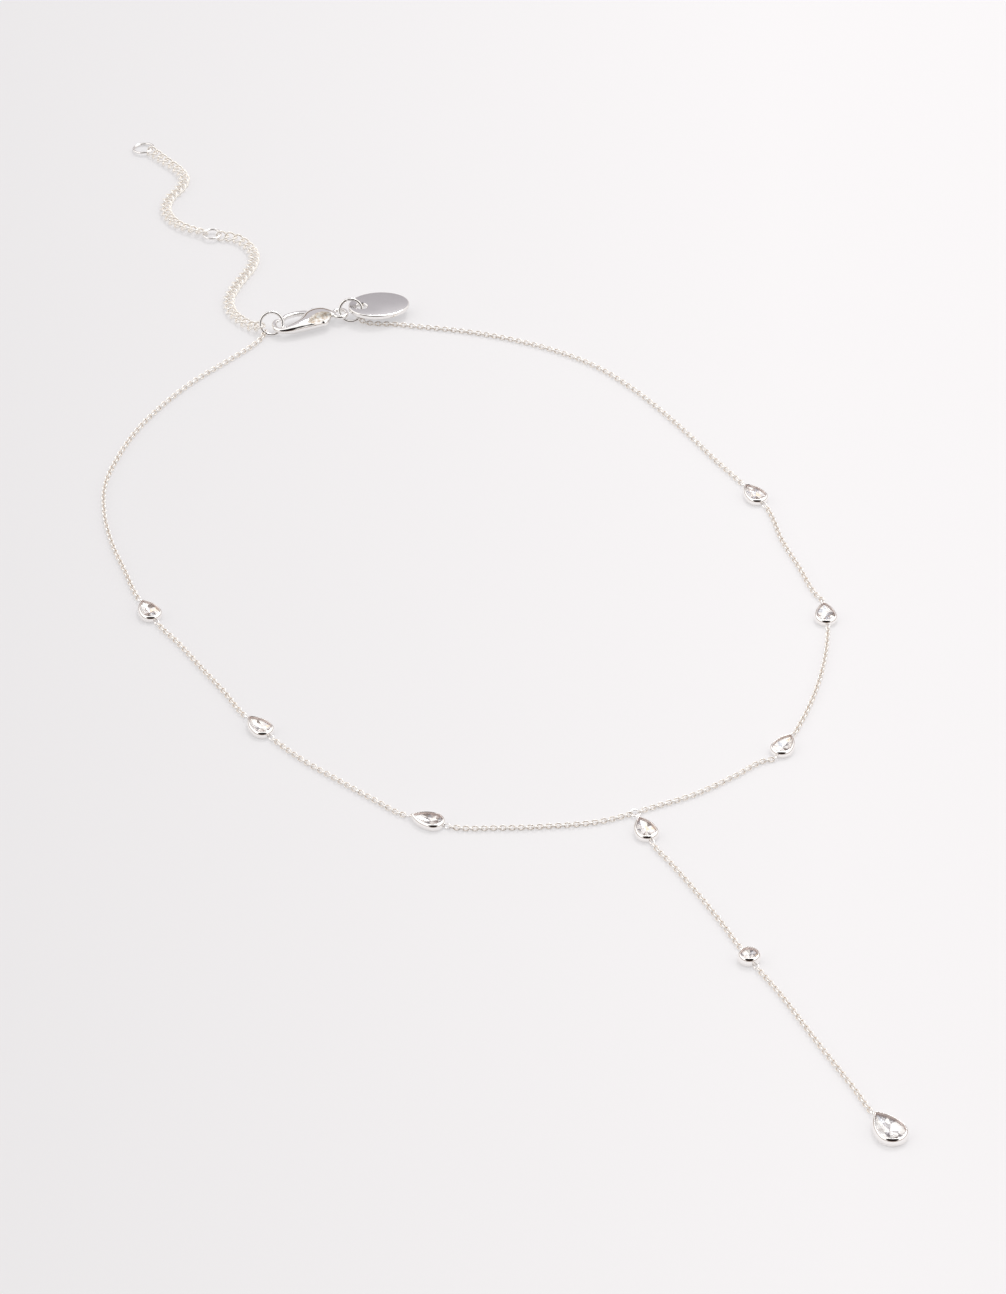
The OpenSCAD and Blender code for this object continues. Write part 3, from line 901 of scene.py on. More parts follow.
class LinkTree:
    """A tree of geometry nodes that sets links along a path."""

    COUNTS = ("Links", "Round points", "Wire points")
    SIZES = ("Half length", "Half width", "Wire")

    def __init__(self, name: str, sizes: Sequence[str], counts: Sequence[str] = ()) -> None:
        """Starts the tree.

        Args:
            name: The tree's name.
            sizes: Its sizes beside those that every link has.
            counts: Its whole numbers beside those that every link has.
        """
        tree = bpy.data.node_groups.new(name, "GeometryNodeTree")
        self.graph = Graph(tree)
        self.tree = tree
        kinds = {"Geometry": "NodeSocketGeometry", "Material": "NodeSocketMaterial"}
        kinds.update({label: "NodeSocketInt" for label in (*self.COUNTS, *counts)})
        kinds.update({label: "NodeSocketFloat" for label in (*self.SIZES, *sizes)})
        for label, kind in kinds.items():
            tree.interface.new_socket(label, in_out="INPUT", socket_type=kind)
        tree.interface.new_socket("Geometry", in_out="OUTPUT", socket_type="NodeSocketGeometry")
        self.entry = self.graph.node("NodeGroupInput")

    def entered(self, label: str) -> Value:
        """Returns one of the tree's named inputs."""
        return Value(self.graph, self.entry.outputs[label])

    def spots(self) -> Value:
        """Returns the path as evenly spaced points."""
        path = self.graph.value("GeometryNodeMeshToCurve", None, {0: self.entered("Geometry")})
        return self.graph.value(
            "GeometryNodeResampleCurve", {"mode": "COUNT"}, {"Curve": path, "Count": self.entered("Links")}
        )

    def here(self) -> list[Value]:
        """Returns the three coordinates of each point."""
        return self.graph.parts(self.graph.value("GeometryNodeInputPosition"))

    def circle(self, points: str, radius: "Value | float") -> Value:
        """Returns a circle whose count of points is a named input."""
        return self.graph.value(
            "GeometryNodeCurvePrimitiveCircle", None, {"Resolution": self.entered(points), "Radius": radius}
        )

    def link(self, x: Value, y: Value, z: "Value | float" = 0.0) -> Value:
        """Sweeps a link's wire.

        Args:
            x: Where each point of a circle of radius 1 goes along the link.
            y: Where it goes across.
            z: Where it goes upwards.

        Returns:
            The link's mesh.
        """
        place = self.graph.value("ShaderNodeCombineXYZ", None, {0: x, 1: y, 2: z})
        line = self.graph.value(
            "GeometryNodeSetPosition", None, {"Geometry": self.circle("Round points", 1.0), "Position": place}
        )
        profile = self.circle("Wire points", self.entered("Wire") * 0.5)
        return self.graph.value("GeometryNodeCurveToMesh", None, {0: line, 1: profile})

    def shaded(self, mesh: Value, shade_amount: Value) -> Value:
        """Returns the mesh with the painted shade of each point kept in an attribute."""
        return self.graph.value(
            "GeometryNodeStoreNamedAttribute",
            {"data_type": "FLOAT", "domain": "POINT"},
            {"Geometry": mesh, "Name": "painted_shade", "Value": shade_amount},
        )

    def turned(self, roll: Value) -> Value:
        """Turns the links along the path, level across it, then rolled.

        Args:
            roll: How far each link rolls about the path.

        Returns:
            The rotation of each link.
        """
        ahead = self.graph.value("GeometryNodeInputTangent")
        level = self.graph.value(
            "FunctionNodeAlignRotationToVector", {"axis": "X", "pivot_axis": "Z"}, {"Vector": ahead}
        )
        sloped = self.graph.value(
            "FunctionNodeAlignRotationToVector",
            {"axis": "X", "pivot_axis": "Y"},
            {"Rotation": level, "Vector": ahead},
        )
        rolled = self.graph.value(
            "FunctionNodeAxisAngleToRotation", None, {"Axis": (1.0, 0.0, 0.0), "Angle": roll}
        )
        return self.graph.value(
            "FunctionNodeRotateRotation", {"rotation_space": "LOCAL"}, {0: sloped, 1: rolled}
        )

    def placed(self, spots: Value, link: Value, roll: Value,
               scale: "Value | tuple[float, float, float]" = (1.0, 1.0, 1.0)) -> Value:
        """Returns the links set on the points of the path.

        Args:
            spots: The points.
            link: The link, a mesh.
            roll: How far each link turns about the path.
            scale: The scale of each link along and across.

        Returns:
            The links as instances.
        """
        return self.graph.value(
            "GeometryNodeInstanceOnPoints",
            None,
            {"Points": spots, "Instance": link, "Rotation": self.turned(roll), "Scale": scale},
        )

    def finish(self, links: Value) -> None:
        """Ends the tree with a real mesh in its material.

        Args:
            links: The links as instances.
        """
        real = self.graph.value("GeometryNodeRealizeInstances", None, {0: links})
        smooth = self.graph.value("GeometryNodeSetShadeSmooth", None, {"Geometry": real})
        dressed = self.graph.value(
            "GeometryNodeSetMaterial", None, {"Geometry": smooth, "Material": self.entered("Material")}
        )
        self.graph.node("NodeGroupOutput", None, {0: dressed})

    def run(self, name: str, path: bpy.types.Mesh, sizes: Mapping[str, Any]) -> bpy.types.Object:
        """Runs the tree on a path.

        Args:
            name: The new piece's name.
            path: The path, a mesh of edges.
            sizes: A value for each named input.

        Returns:
            The piece, a plain mesh.
        """
        path.materials.append(sizes["Material"])
        holder = bpy.data.objects.new("holder", path)
        bpy.context.scene.collection.objects.link(holder)
        modifier = holder.modifiers.new("links", "NODES")
        modifier.node_group = self.tree
        sockets = {s.name: s.identifier for s in self.tree.interface.items_tree if s.in_out == "INPUT"}
        for label, size in sizes.items():
            modifier[sockets[label]] = size
        depsgraph = bpy.context.evaluated_depsgraph_get()
        mesh = bpy.data.meshes.new_from_object(holder.evaluated_get(depsgraph))
        holder.modifiers.remove(modifier)
        bpy.data.objects.remove(holder)
        return show(mesh, name)


def fine_link_tree() -> LinkTree:
    """Builds the tree of the fine chain: oval links that roll one way and the other in turn.

    Returns:
        The tree.
    """
    tree = LinkTree("fine_links", ("Roll", "Jitter", "Wide at start", "Wide at end"), ("Seed",))
    graph = tree.graph
    half_length, half_width = tree.entered("Half length"), tree.entered("Half width")
    # Painted shade: a point is darkened more the nearer it lies to the link's middle.
    shade_edge, shade_steep = 1.08, 2.6
    x, y, _ = tree.here()
    link = tree.link(half_length * x, half_width * y)
    x, y, _ = tree.here()
    along, across = x / half_length, y / half_width
    inside = ((shade_edge - (along * along + across * across)) * shade_steep).clamped()
    link = tree.shaded(link, inside)
    index = graph.value("GeometryNodeInputIndex")
    side = index.modulo(2.0) * 2.0 - 1.0
    jitter = graph.value(
        "FunctionNodeRandomValue",
        {"data_type": "FLOAT"},
        {2: tree.entered("Jitter") * -1.0, 3: tree.entered("Jitter"), "Seed": tree.entered("Seed")},
        output=1,
    )
    to_end = tree.entered("Links") - 1.0 - index
    wide = (
        1.0 + (tree.entered("Wide at start") - 1.0) * (1.0 - index).at_least(0.0)
        + (tree.entered("Wide at end") - 1.0) * (1.0 - to_end).at_least(0.0)
    )
    scale = graph.value("ShaderNodeCombineXYZ", None, {0: 1.0, 1: wide, 2: 1.0})
    tree.finish(tree.placed(tree.spots(), link, side * tree.entered("Roll") + jitter, scale))
    return tree


def curb_link_tree() -> LinkTree:
    """Builds the tree of the extender: twisted oval links that roll only next to the rings.

    Returns:
        The tree.
    """
    tree = LinkTree("curb_links", ("Twist", "Roll at start", "Roll at end", "Ease", "Lift"))
    graph = tree.graph
    half_length, half_width = tree.entered("Half length"), tree.entered("Half width")
    # Painted shade: a point is darkened more the nearer it lies to the link's middle, and on the underside.
    shade_steep, inside_share, low_share = 1.25, 0.9, 0.35
    x, y, _ = tree.here()
    twist = tree.entered("Twist") * x
    width = half_width * y
    link = tree.link(half_length * x, width * twist.cosine(), width * twist.sine())
    x, y, z = tree.here()
    along, across = x / half_length, y / half_width
    inside = (shade_steep - (along * along + across * across) * shade_steep).clamped()
    low = (0.5 - z / half_width).clamped()
    link = tree.shaded(link, (inside * inside_share + low * low_share).clamped())
    index = graph.value("GeometryNodeInputIndex")
    ease = tree.entered("Ease")
    to_end = tree.entered("Links") - 1.0 - index
    roll = (
        tree.entered("Roll at start") * (1.0 - index / ease).at_least(0.0)
        + tree.entered("Roll at end") * (1.0 - to_end / ease).at_least(0.0)
    )
    links = tree.placed(tree.spots(), link, roll)
    rise = graph.value("ShaderNodeCombineXYZ", None, {2: roll.size() * tree.entered("Lift")})
    raised = graph.value(
        "GeometryNodeTranslateInstances", None, {0: links, "Translation": rise, "Local Space": False}
    )
    tree.finish(raised)
    return tree


@dataclass
class Layout:
    """Where everything lies: the settings, the rings and the route of each stretch of chain."""

    fine: FineChain = field(default_factory=FineChain)
    curb: CurbChain = field(default_factory=CurbChain)
    pear_length: float = 0.0055
    pear_width: float = 0.0036
    pear_height: float = 0.00115
    drop_length: float = 0.007
    drop_width: float = 0.0047
    drop_height: float = 0.00135
    round_d: float = 0.0034
    round_height: float = 0.00145
    junction: tuple[float, float] = (-0.0033, -0.0603)
    junction_turn: float = -96.0
    junction_d: float = 0.0018
    junction_wire: float = 0.00026
    jump_d: float = 0.0042
    jump_wire: float = 0.0005
    jump_lean: float = 53.0
    jump_turn: float = -25.0
    mid_ring_d: float = 0.0033
    mid_ring_wire: float = 0.00042
    end_ring_d: float = 0.0039
    end_ring_wire: float = 0.00044
    end_turn: float = 111.0
    mid_in: float = 136.0
    mid_out: float = 134.0
    chain_on_clasp_ring: float = -45.0
    tag_on_clasp_ring: float = 9.0
    chain_on_hook_ring: float = 230.0
    extender_on_hook_ring: float = 200.0
    way_off_clasp_ring: tuple[float, float, float] = (0.47, -0.83, -0.2)
    way_to_hook_ring: tuple[float, float, float] = (0.55, 0.83, 0.05)
    way_off_hook_ring: tuple[float, float, float] = (-0.5, 0.8, -0.33)
    way_to_junction: tuple[float, float, float] = (-1.0, -0.1, 0.0)
    way_off_junction: tuple[float, float, float] = (-1.0, 0.1, 0.0)

    # The points of each stretch as x and y: the loop from the clasp ring round to the hook ring, in eight
    # stretches, then the two of the drop and the two of the extender.
    ROUTE = (
        ((0.0133, 0.0758), (0.0145, 0.0747), (0.016, 0.0739), (0.0175, 0.0731), (0.0205, 0.071),
         (0.0275, 0.066), (0.0335, 0.0605), (0.0385, 0.0545), (0.0425, 0.0475), (0.045, 0.0395),
         (0.0465, 0.0315), (0.0475, 0.0235), (0.0482, 0.0155)),
        ((0.0493, -0.002), (0.048, -0.0075), (0.047, -0.016), (0.0461, -0.023)),
        ((0.0425, -0.034), (0.039, -0.0395), (0.0335, -0.0465), (0.029, -0.0512)),
        ((0.0195, -0.0572), (0.0145, -0.0585), (0.007, -0.06)),
        ((-0.0085, -0.06), (-0.016, -0.0578), (-0.023, -0.055)),
        ((-0.037, -0.0412), (-0.04, -0.0345), (-0.0428, -0.028)),
        ((-0.047, -0.0075), (-0.0478, -0.0005), (-0.0486, 0.007)),
        ((-0.049, 0.028), (-0.048, 0.036), (-0.0462, 0.0435), (-0.043, 0.051), (-0.038, 0.0575),
         (-0.0325, 0.063), (-0.026, 0.0678), (-0.019, 0.0718), (-0.0115, 0.075), (-0.0065, 0.0772),
         (-0.0042, 0.0786)),
        ((-0.0037, -0.073), (-0.0033, -0.08), (-0.0031, -0.088)),
        ((-0.0027, -0.105), (-0.0027, -0.118), (-0.0026, -0.129)),
        ((-0.0045, 0.0825), (-0.0053, 0.085), (-0.0056, 0.088), (-0.0046, 0.0913), (-0.0025, 0.094),
         (0.0, 0.0964), (0.0026, 0.0988), (0.0044, 0.1018), (0.0046, 0.1052), (0.0036, 0.1079)),
        ((-0.0018, 0.1132), (-0.0034, 0.1158), (-0.004, 0.1189), (-0.0033, 0.122), (-0.0014, 0.1245),
         (0.001, 0.1263), (0.0029, 0.1288), (0.0031, 0.132), (0.0021, 0.1357)),
    )

    def junction_step(self) -> float:
        """Returns the distance from the junction ring's middle to that of a link on it."""
        inner = self.junction_d / 2 - self.junction_wire
        return inner + self.fine.half_length() - self.fine.wire / 2 - self.fine.gap

    def settings(self) -> dict[str, Place]:
        """Lays the settings.

        Returns:
            The place of each setting, by name.
        """
        pear = self.pear_length
        way = heading(self.junction_turn)
        reach = self.junction_step() + Place(0.0, 0.0, 0.0, pear).reach()
        return {
            "right_back": Place(0.0494, 0.0046, -85.0, pear),
            "right_side": Place(0.045, -0.0285, -111.0, pear),
            "right_front": Place(0.0241, -0.0553, -143.0, pear),
            "left_front": Place(-0.032, -0.049, -47.0, pear),
            "left_side": Place(-0.0457, -0.0176, -77.0, pear),
            "left_back": Place(-0.0497, 0.0166, -88.0, pear),
            "junction": Place(self.junction[0] + reach * way[0], self.junction[1] + reach * way[1],
                              self.junction_turn, pear),
            "drop_round": Place(-0.0031, -0.0973, -88.0, self.round_d),
            "drop_pear": Place(-0.0024, -0.1384, -86.0, self.drop_length),
        }

    def held_height(self) -> float:
        """Returns the height of the extender's middle ring."""
        return self.curb.height() + self.curb.end_roll * self.curb.lift()

    def end_lean(self) -> float:
        """Returns how far the end ring leans, in degrees."""
        radius = (self.end_ring_d - self.end_ring_wire) / 2
        return math.degrees(math.asin((self.held_height() - self.end_ring_wire / 2) / (2 * radius)))

    def rings(self) -> dict[str, WireRing]:
        """Lays the loose rings.

        Returns:
            The rings, by name.
        """
        lean = math.radians(self.jump_lean)
        jump_z = (self.jump_d - self.jump_wire) / 2 * math.sin(lean) + self.jump_wire / 2
        held = self.held_height()
        end_lean = self.end_lean()
        end_z = held - (self.end_ring_d - self.end_ring_wire) / 2 * math.sin(math.radians(end_lean))
        jump = (self.jump_d, self.jump_wire, self.jump_lean, self.jump_turn)
        found = [
            WireRing("junction_ring", np.array([*self.junction, self.fine.height()]),
                     self.junction_d, self.junction_wire, seam=35.0),
            WireRing("clasp_ring", np.array([0.0118, 0.0781, jump_z]), *jump, seam=110.0),
            WireRing("hook_ring", np.array([-0.00165, 0.08005, jump_z]), *jump, seam=100.0),
            WireRing("extender_ring", np.array([0.0005, 0.1106, held]),
                     self.mid_ring_d, self.mid_ring_wire, seam=40.0),
            WireRing("end_ring", np.array([0.0004, 0.141, end_z]), self.end_ring_d,
                     self.end_ring_wire, turn=self.end_turn, tip=end_lean, seam=60.0),
        ]
        return {ring.name: ring for ring in found}

    def fine_stretches(self) -> dict[str, Stretch]:
        """Lays the fine chain.

        Returns:
            The stretches, by the name of the solid that each replaces.
        """
        at, rings, z = self.settings(), self.rings(), self.fine.height()
        pitch, route, step = self.fine.pitch(), self.ROUTE, self.junction_step()
        on_jump = self.fine.half_length() - self.fine.wire / 2 - self.jump_wire / 2 - self.fine.gap
        junction = np.array([*self.junction, z])

        def between(a: str, a_end: int, number: int, b: str, b_end: int) -> Stretch:
            """Returns the stretch between two settings' soldered rings."""
            return Stretch.through(
                at[a].ring_at(a_end), a_end * heading(at[a].turn), pitch, route[number], z,
                at[b].ring_at(b_end), -b_end * heading(at[b].turn), pitch,
            )

        return {
            "chain_right_back": Stretch.through(
                rings["clasp_ring"].point(self.chain_on_clasp_ring), self.way_off_clasp_ring, on_jump,
                route[0], z, at["right_back"].ring_at(-1), heading(at["right_back"].turn), pitch),
            "chain_right_side": between("right_back", 1, 1, "right_side", -1),
            "chain_right_mid": between("right_side", 1, 2, "right_front", -1),
            "chain_front_right": Stretch.through(
                at["right_front"].ring_at(1), heading(at["right_front"].turn), pitch,
                route[3], z, junction, self.way_to_junction, step),
            "chain_front_left": Stretch.through(
                junction, self.way_off_junction, step, route[4], z,
                at["left_front"].ring_at(1), -heading(at["left_front"].turn), pitch),
            "chain_left_mid": between("left_front", -1, 5, "left_side", 1),
            "chain_left_side": between("left_side", -1, 6, "left_back", 1),
            "chain_left_back": Stretch.through(
                at["left_back"].ring_at(-1), -heading(at["left_back"].turn), pitch, route[7], z,
                rings["hook_ring"].point(self.chain_on_hook_ring), self.way_to_hook_ring, on_jump),
            "chain_drop_upper": between("junction", 1, 8, "drop_round", -1),
            "chain_drop_lower": between("drop_round", 1, 9, "drop_pear", -1),
        }

    def curb_stretches(self) -> dict[str, tuple[Stretch, float, float]]:
        """Lays the extender.

        Returns:
            The stretches, each with its roll at the start and at the end, by the solid's name.
        """
        rings, z, hold, roll = self.rings(), self.curb.height(), self.curb.hold(), self.curb.end_roll
        mid, end = rings["extender_ring"], rings["end_ring"]
        lean = math.radians(self.end_lean())
        end_in = heading(self.end_turn) * math.cos(lean)

        def level(point: np.ndarray) -> np.ndarray:
            """Returns the point at the links' own height."""
            return np.array([point[0], point[1], z])

        lower = Stretch.through(
            rings["hook_ring"].point(self.extender_on_hook_ring), self.way_off_hook_ring, hold,
            self.ROUTE[10], z, level(mid.at - mid.radius() * heading(self.mid_in)),
            heading(self.mid_in), hold)
        upper = Stretch.through(
            level(mid.at + mid.radius() * heading(self.mid_out)), heading(self.mid_out), hold,
            self.ROUTE[11], z, level(end.at - end.radius() * end_in), heading(self.end_turn), hold)
        return {"extender_lower": (lower, -roll, -roll), "extender_upper": (upper, roll, -roll)}


@dataclass
class Chains:
    """All the chain of the necklace."""

    layout: Layout
    odd_stretches: tuple[str, ...] = ("chain_left_back",)
    wide_starts: tuple[str, ...] = ("chain_right_back",)
    wide_ends: tuple[str, ...] = ("chain_left_back",)

    def build_fine(self) -> None:
        """Makes the fine chain."""
        fine, tree = self.layout.fine, fine_link_tree()
        for number, (node, stretch) in enumerate(self.layout.fine_stretches().items()):
            count = stretch.fine_links(fine.pitch(), int(node in self.odd_stretches))
            links = tree.run(node.replace("chain", "links"), stretch.path(), {
                "Links": count, "Half length": fine.half_length(), "Half width": fine.half_width(),
                "Wire": fine.wire, "Roll": math.radians(fine.roll), "Jitter": math.radians(fine.jitter),
                "Wide at start": fine.end_width if node in self.wide_starts else 1.0,
                "Wide at end": fine.end_width if node in self.wide_ends else 1.0,
                "Seed": fine.seed + number, "Round points": fine.round_points,
                "Wire points": fine.wire_points, "Material": Finish.CHAIN.material(),
            })
            settle(links, "necklace", "chain_silver", node)

    def build_extender(self) -> None:
        """Makes the extender's two stretches."""
        curb, tree = self.layout.curb, curb_link_tree()
        for node, (stretch, roll_start, roll_end) in self.layout.curb_stretches().items():
            links = tree.run(f"{node}_links", stretch.path(), {
                "Links": stretch.curb_links(curb.pitch), "Half length": curb.half_length(),
                "Half width": curb.half_width(), "Wire": curb.wire, "Twist": math.radians(curb.twist),
                "Roll at start": math.radians(roll_start), "Roll at end": math.radians(roll_end),
                "Ease": curb.ease, "Lift": math.degrees(curb.lift()),
                "Round points": curb.round_points, "Wire points": curb.wire_points,
                "Material": Finish.EXTENDER.material(),
            })
            settle(links, "necklace", "extender_silver", node)


@dataclass
class Setting:
    """A cup with its soldered rings, and the cut stone in it."""

    name: str
    place: Place
    width: float
    height: float
    ends: tuple[int, ...]
    stone_steps: tuple[int, int] = (6, 3)
    rim_width: float = 0.00042
    floor: float = 0.00014
    stone_gap: float = 0.00003
    culet_share: float = 0.3
    # Painted shade down to the seat, and painted contact shadow at the foot and how high it reaches.
    seat_shade: float = 0.9
    foot_shade: float = 0.5
    foot_share: float = 0.2
    # The direction in which the stone's painted reflections are brightest.
    bright_side: float = 165.0
    chance_share: float = 0.66
    seed: int = 1
    side_bow: float = 1.3
    round_steps: int = 36
    side_steps: int = 18
    wall_steps: int = 4
    seat_steps: int = 3

    # The wall from its foot, over the rim, to the seat's edge: the inset as a share of the rim's width, and
    # the height as a share of the cup's.
    WALL = ((0.5, 0.0), (0.1, 0.14), (0.0, 0.34), (0.0, 0.52), (0.1, 0.7), (0.33, 0.86), (0.67, 0.97),
            (0.88, 1.0), (1.0, 0.93))
    # The stone's loops from the pavilion to the table: the inset as a share of half the stone's width, the
    # height as a share of the cup's, and the shift in facets.
    CUT = ((0.5, 0.35, 0.5), (0.0, 0.57, 0.0), (0.0, 0.63, 0.0), (0.2, 0.81, 0.5), (0.4, 0.92, 0.0))

    def outline(self, inset: float, round_steps: int, side_steps: int, shift: float = 0.0) -> np.ndarray:
        """Returns a loop inside the cup's outline.

        Args:
            inset: Distance from the outline.
            round_steps: Steps round the round end.
            side_steps: Steps along each bowed side.
            shift: Steps by which the points move along.

        Returns:
            The loop's points, in the cup's own plane.
        """
        steps = round_steps + 2 * side_steps
        length, r = self.place.length, self.width / 2
        if abs(length - self.width) < 1e-9:
            angles = np.radians((np.arange(steps) + shift) * 360 / steps)
            return (r - inset) * np.stack([np.cos(angles), np.sin(angles)], axis=1)
        mid, bow, tip = length / 2 - r, self.side_bow * self.width, -length / 2
        bow_x = (bow**2 - (bow - r) ** 2 - tip**2 + mid**2) / (2 * (mid - tip))
        bow_y = math.sqrt(max(0.0, bow**2 - (bow_x - tip) ** 2))
        opened = math.atan2(bow_y, mid - bow_x)
        closed = math.pi - math.asin(min(1.0, bow_y / (bow - inset)))
        loop = []
        for i in range(steps):
            k = (i + shift) % steps
            if k <= round_steps:
                a = opened * (2 * k / round_steps - 1)
                loop.append((mid + (r - inset) * math.cos(a), (r - inset) * math.sin(a)))
            elif k <= round_steps + side_steps:
                a = opened + (closed - opened) * (k - round_steps) / side_steps
                loop.append((bow_x + (bow - inset) * math.cos(a), -bow_y + (bow - inset) * math.sin(a)))
            else:
                a = closed - (closed - opened) * (k - round_steps - side_steps) / side_steps
                loop.append((bow_x + (bow - inset) * math.cos(a), bow_y - (bow - inset) * math.sin(a)))
        return np.array(loop)

    def placed(self, rows: np.ndarray) -> np.ndarray:
        """Returns rows of points moved from the cup's own frame to its place."""
        matrix = np.array(self.place.matrix())
        return rows @ matrix[:3, :3].T + matrix[:3, 3]

    def build_cup(self) -> None:
        """Makes the cup with its soldered rings."""
        wall = smooth_line(np.array(self.WALL), self.wall_steps)
        wall = [(share * self.rim_width, rise * self.height) for share, rise in wall]
        inner = np.linspace(wall[-1][1], self.floor, self.seat_steps + 1)[1:]
        wall += [(self.rim_width, z) for z in inner]
        rows = []
        for inset, z in wall:
            loop = self.outline(inset, self.round_steps, self.side_steps)
            rows.append(np.column_stack([loop, np.full(len(loop), z)]))
        # Painted shade down the inner wall to the seat, and a painted contact shadow low on the outer wall at
        # the foot.
        inside = np.linspace(0.0, self.seat_shade, self.seat_steps)
        foot_height = self.foot_share * self.height
        foot = [self.foot_shade * max(0.0, 1 - z / foot_height) for _, z in wall[:-self.seat_steps]]
        shell = Shell()
        slots = [0] * (len(foot) - 1) + [1] * (self.seat_steps + 1)
        shell.loft(self.placed(np.array(rows)), painted_shade=np.array([*foot, *inside])[:, None], slots=slots)
        for end in self.ends:
            fine = self.place.fine
            turn = self.place.matrix() @ Matrix.Rotation(math.radians(fine.roll * end), 4, "X")
            shell.ring(self.place.ring_at(end), turn, fine.half_length(), fine.wire,
                       fine.half_width() / fine.half_length())
        cup = shell.build(f"cup_{self.name}", Finish.SETTING, Finish.SEAT_PAINTED_SHADE, sharp=50.0)
        settle(cup, "necklace", "setting_silver", f"setting_{self.name}")

    def painted_facet_reflections(self, mesh: bpy.types.Mesh) -> np.ndarray:
        """Chooses the facets' painted reflections: brighter on one side of the stone, and mixed by chance.

        Args:
            mesh: The stone's mesh, in place.

        Returns:
            A number from 0 to 1 for each face.
        """
        middles = np.array([face.center for face in mesh.polygons]) - [self.place.x, self.place.y, 0.0]
        angles = np.arctan2(middles[:, 1], middles[:, 0])
        turned = 0.5 - 0.5 * np.cos(angles - math.radians(self.bright_side))
        chance = np.random.default_rng(self.seed).random(len(middles))
        return (1 - self.chance_share) * turned + self.chance_share * chance

    def build_stone(self) -> None:
        """Makes the stone: a table, two crown rows, a girdle and two pavilion rows."""
        around, sides = self.stone_steps
        inset = self.rim_width + self.stone_gap
        half = self.width / 2 - inset
        steps = around + 2 * sides
        points: list[tuple[float, float, float]] = []
        for share, rise, shift in self.CUT:
            loop = self.outline(inset + share * half, around, sides, shift)
            points += [(x, y, rise * self.height) for x, y in loop]
        culet_x = (self.place.length - self.width) * self.culet_share
        points.append((culet_x, 0.0, self.floor + self.stone_gap))
        faces: list[list[int]] = []
        for r in range(len(self.CUT) - 1):
            late = self.CUT[r][2] > 0
            level = self.CUT[r][2] == self.CUT[r + 1][2]
            for i in range(steps):
                j, a, b = (i + 1) % steps, r * steps, (r + 1) * steps
                if level:
                    faces.append([a + i, a + j, b + j, b + i])
                elif late:
                    faces += [[a + i, a + j, b + j], [a + i, b + j, b + i]]
                else:
                    faces += [[a + i, a + j, b + i], [a + j, b + j, b + i]]
        top = (len(self.CUT) - 1) * steps
        faces.append([top + i for i in range(steps)])
        faces += [[(i + 1) % steps, i, len(self.CUT) * steps] for i in range(steps)]
        mesh = bpy.data.meshes.new(f"stone_{self.name}")
        mesh.from_pydata(self.placed(np.array(points)).tolist(), [], faces)
        # The pavilion facets take the painted reflections; the rest are clear stone.
        back = np.array([max(face) == top + steps or max(face) < 2 * steps for face in faces])
        mesh.polygons.foreach_set("material_index", back.astype(np.int32))
        painted_reflection = mesh.attributes.new("painted_reflection", "FLOAT", "FACE")
        painted_reflection.data.foreach_set("value", self.painted_facet_reflections(mesh).astype(np.float32))
        stone = show(mesh, f"cut_stone_{self.name}", Finish.STONE, Finish.PAINTED_STONE_BACK)
        settle(stone, "necklace", "stone", f"stone_{self.name}")


@dataclass
class Tag:
    """The oval tag on the clasp ring: a flat plate with rounded edges and a drilled hole."""

    layout: Layout
    length: float = 0.0103
    width: float = 0.0072
    thick: float = 0.0008
    hole_d: float = 0.0018
    hole_inset: float = 0.0022
    turn: float = -8.0
    rest_gap: float = 0.0001
    off_wire: tuple[float, float, float] = (0.00005, 0.0002, 0.0)
    edge: float = 0.00022
    hole_edge: float = 0.00011
    edge_steps: int = 6
    points: int = 144

    def matrix(self) -> Matrix:
        """Finds how the tag leans from the ring onto the chain.

        Returns:
            The place of the middle of its hole.
        """
        ring = self.layout.rings()["clasp_ring"]
        at = ring.point(self.layout.tag_on_clasp_ring) + np.array(self.off_wire)
        rest_z = 2 * self.layout.fine.solid_height() + self.rest_gap + self.thick / 2
        fall = math.asin((at[2] - rest_z) / (self.length - self.hole_inset))
        return (Matrix.Translation(Vector(at)) @ Matrix.Rotation(math.radians(self.turn), 4, "Z")
                @ Matrix.Rotation(fall, 4, "Y"))

    def build(self) -> None:
        """Makes the tag."""
        a = np.radians(np.arange(self.points) * 360 / self.points)
        middle = np.array([self.length / 2 - self.hole_inset, 0.0])
        half = self.thick / 2
        rows, slots = [], []

        def outer(inset: float, z: float) -> np.ndarray:
            """Returns a loop of the plate's outline."""
            x = middle[0] + (self.length / 2 - inset) * np.cos(a)
            return np.column_stack([x, (self.width / 2 - inset) * np.sin(a), np.full(self.points, z)])

        rim = outer(0.0, 0.0)
        toward = np.arctan2(rim[:, 1], rim[:, 0])

        def hole(grow: float, z: float) -> np.ndarray:
            """Returns a loop of the hole's wall."""
            r = self.hole_d / 2 + grow
            return np.column_stack([r * np.cos(toward), r * np.sin(toward), np.full(self.points, z)])

        bend = np.radians(np.linspace(0, 90, self.edge_steps))
        for sine, cosine in zip(np.sin(bend), np.cos(bend)):
            rows.append(outer(self.edge * (1 - cosine), self.edge * sine + half - self.edge))
            slots.append(1)
        slots[-1] = 0
        rows += [hole(self.hole_edge, half), hole(0.0, half - self.hole_edge)]
        rows += [hole(0.0, -half + self.hole_edge), hole(self.hole_edge, -half)]
        slots += [1, 1, 1, 0]
        for sine, cosine in zip(np.sin(bend[::-1]), np.cos(bend[::-1])):
            rows.append(outer(self.edge * (1 - cosine), -self.edge * sine - half + self.edge))
            slots.append(1)
        matrix = np.array(self.matrix())
        shell = Shell()
        shell.loft(np.array(rows) @ matrix[:3, :3].T + matrix[:3, 3], closed=True, slots=slots)
        tag = shell.build("tag_plate", Finish.TAG, Finish.CLASP, sharp=30.0)
        settle(tag, "necklace", "tag_silver", "tag")


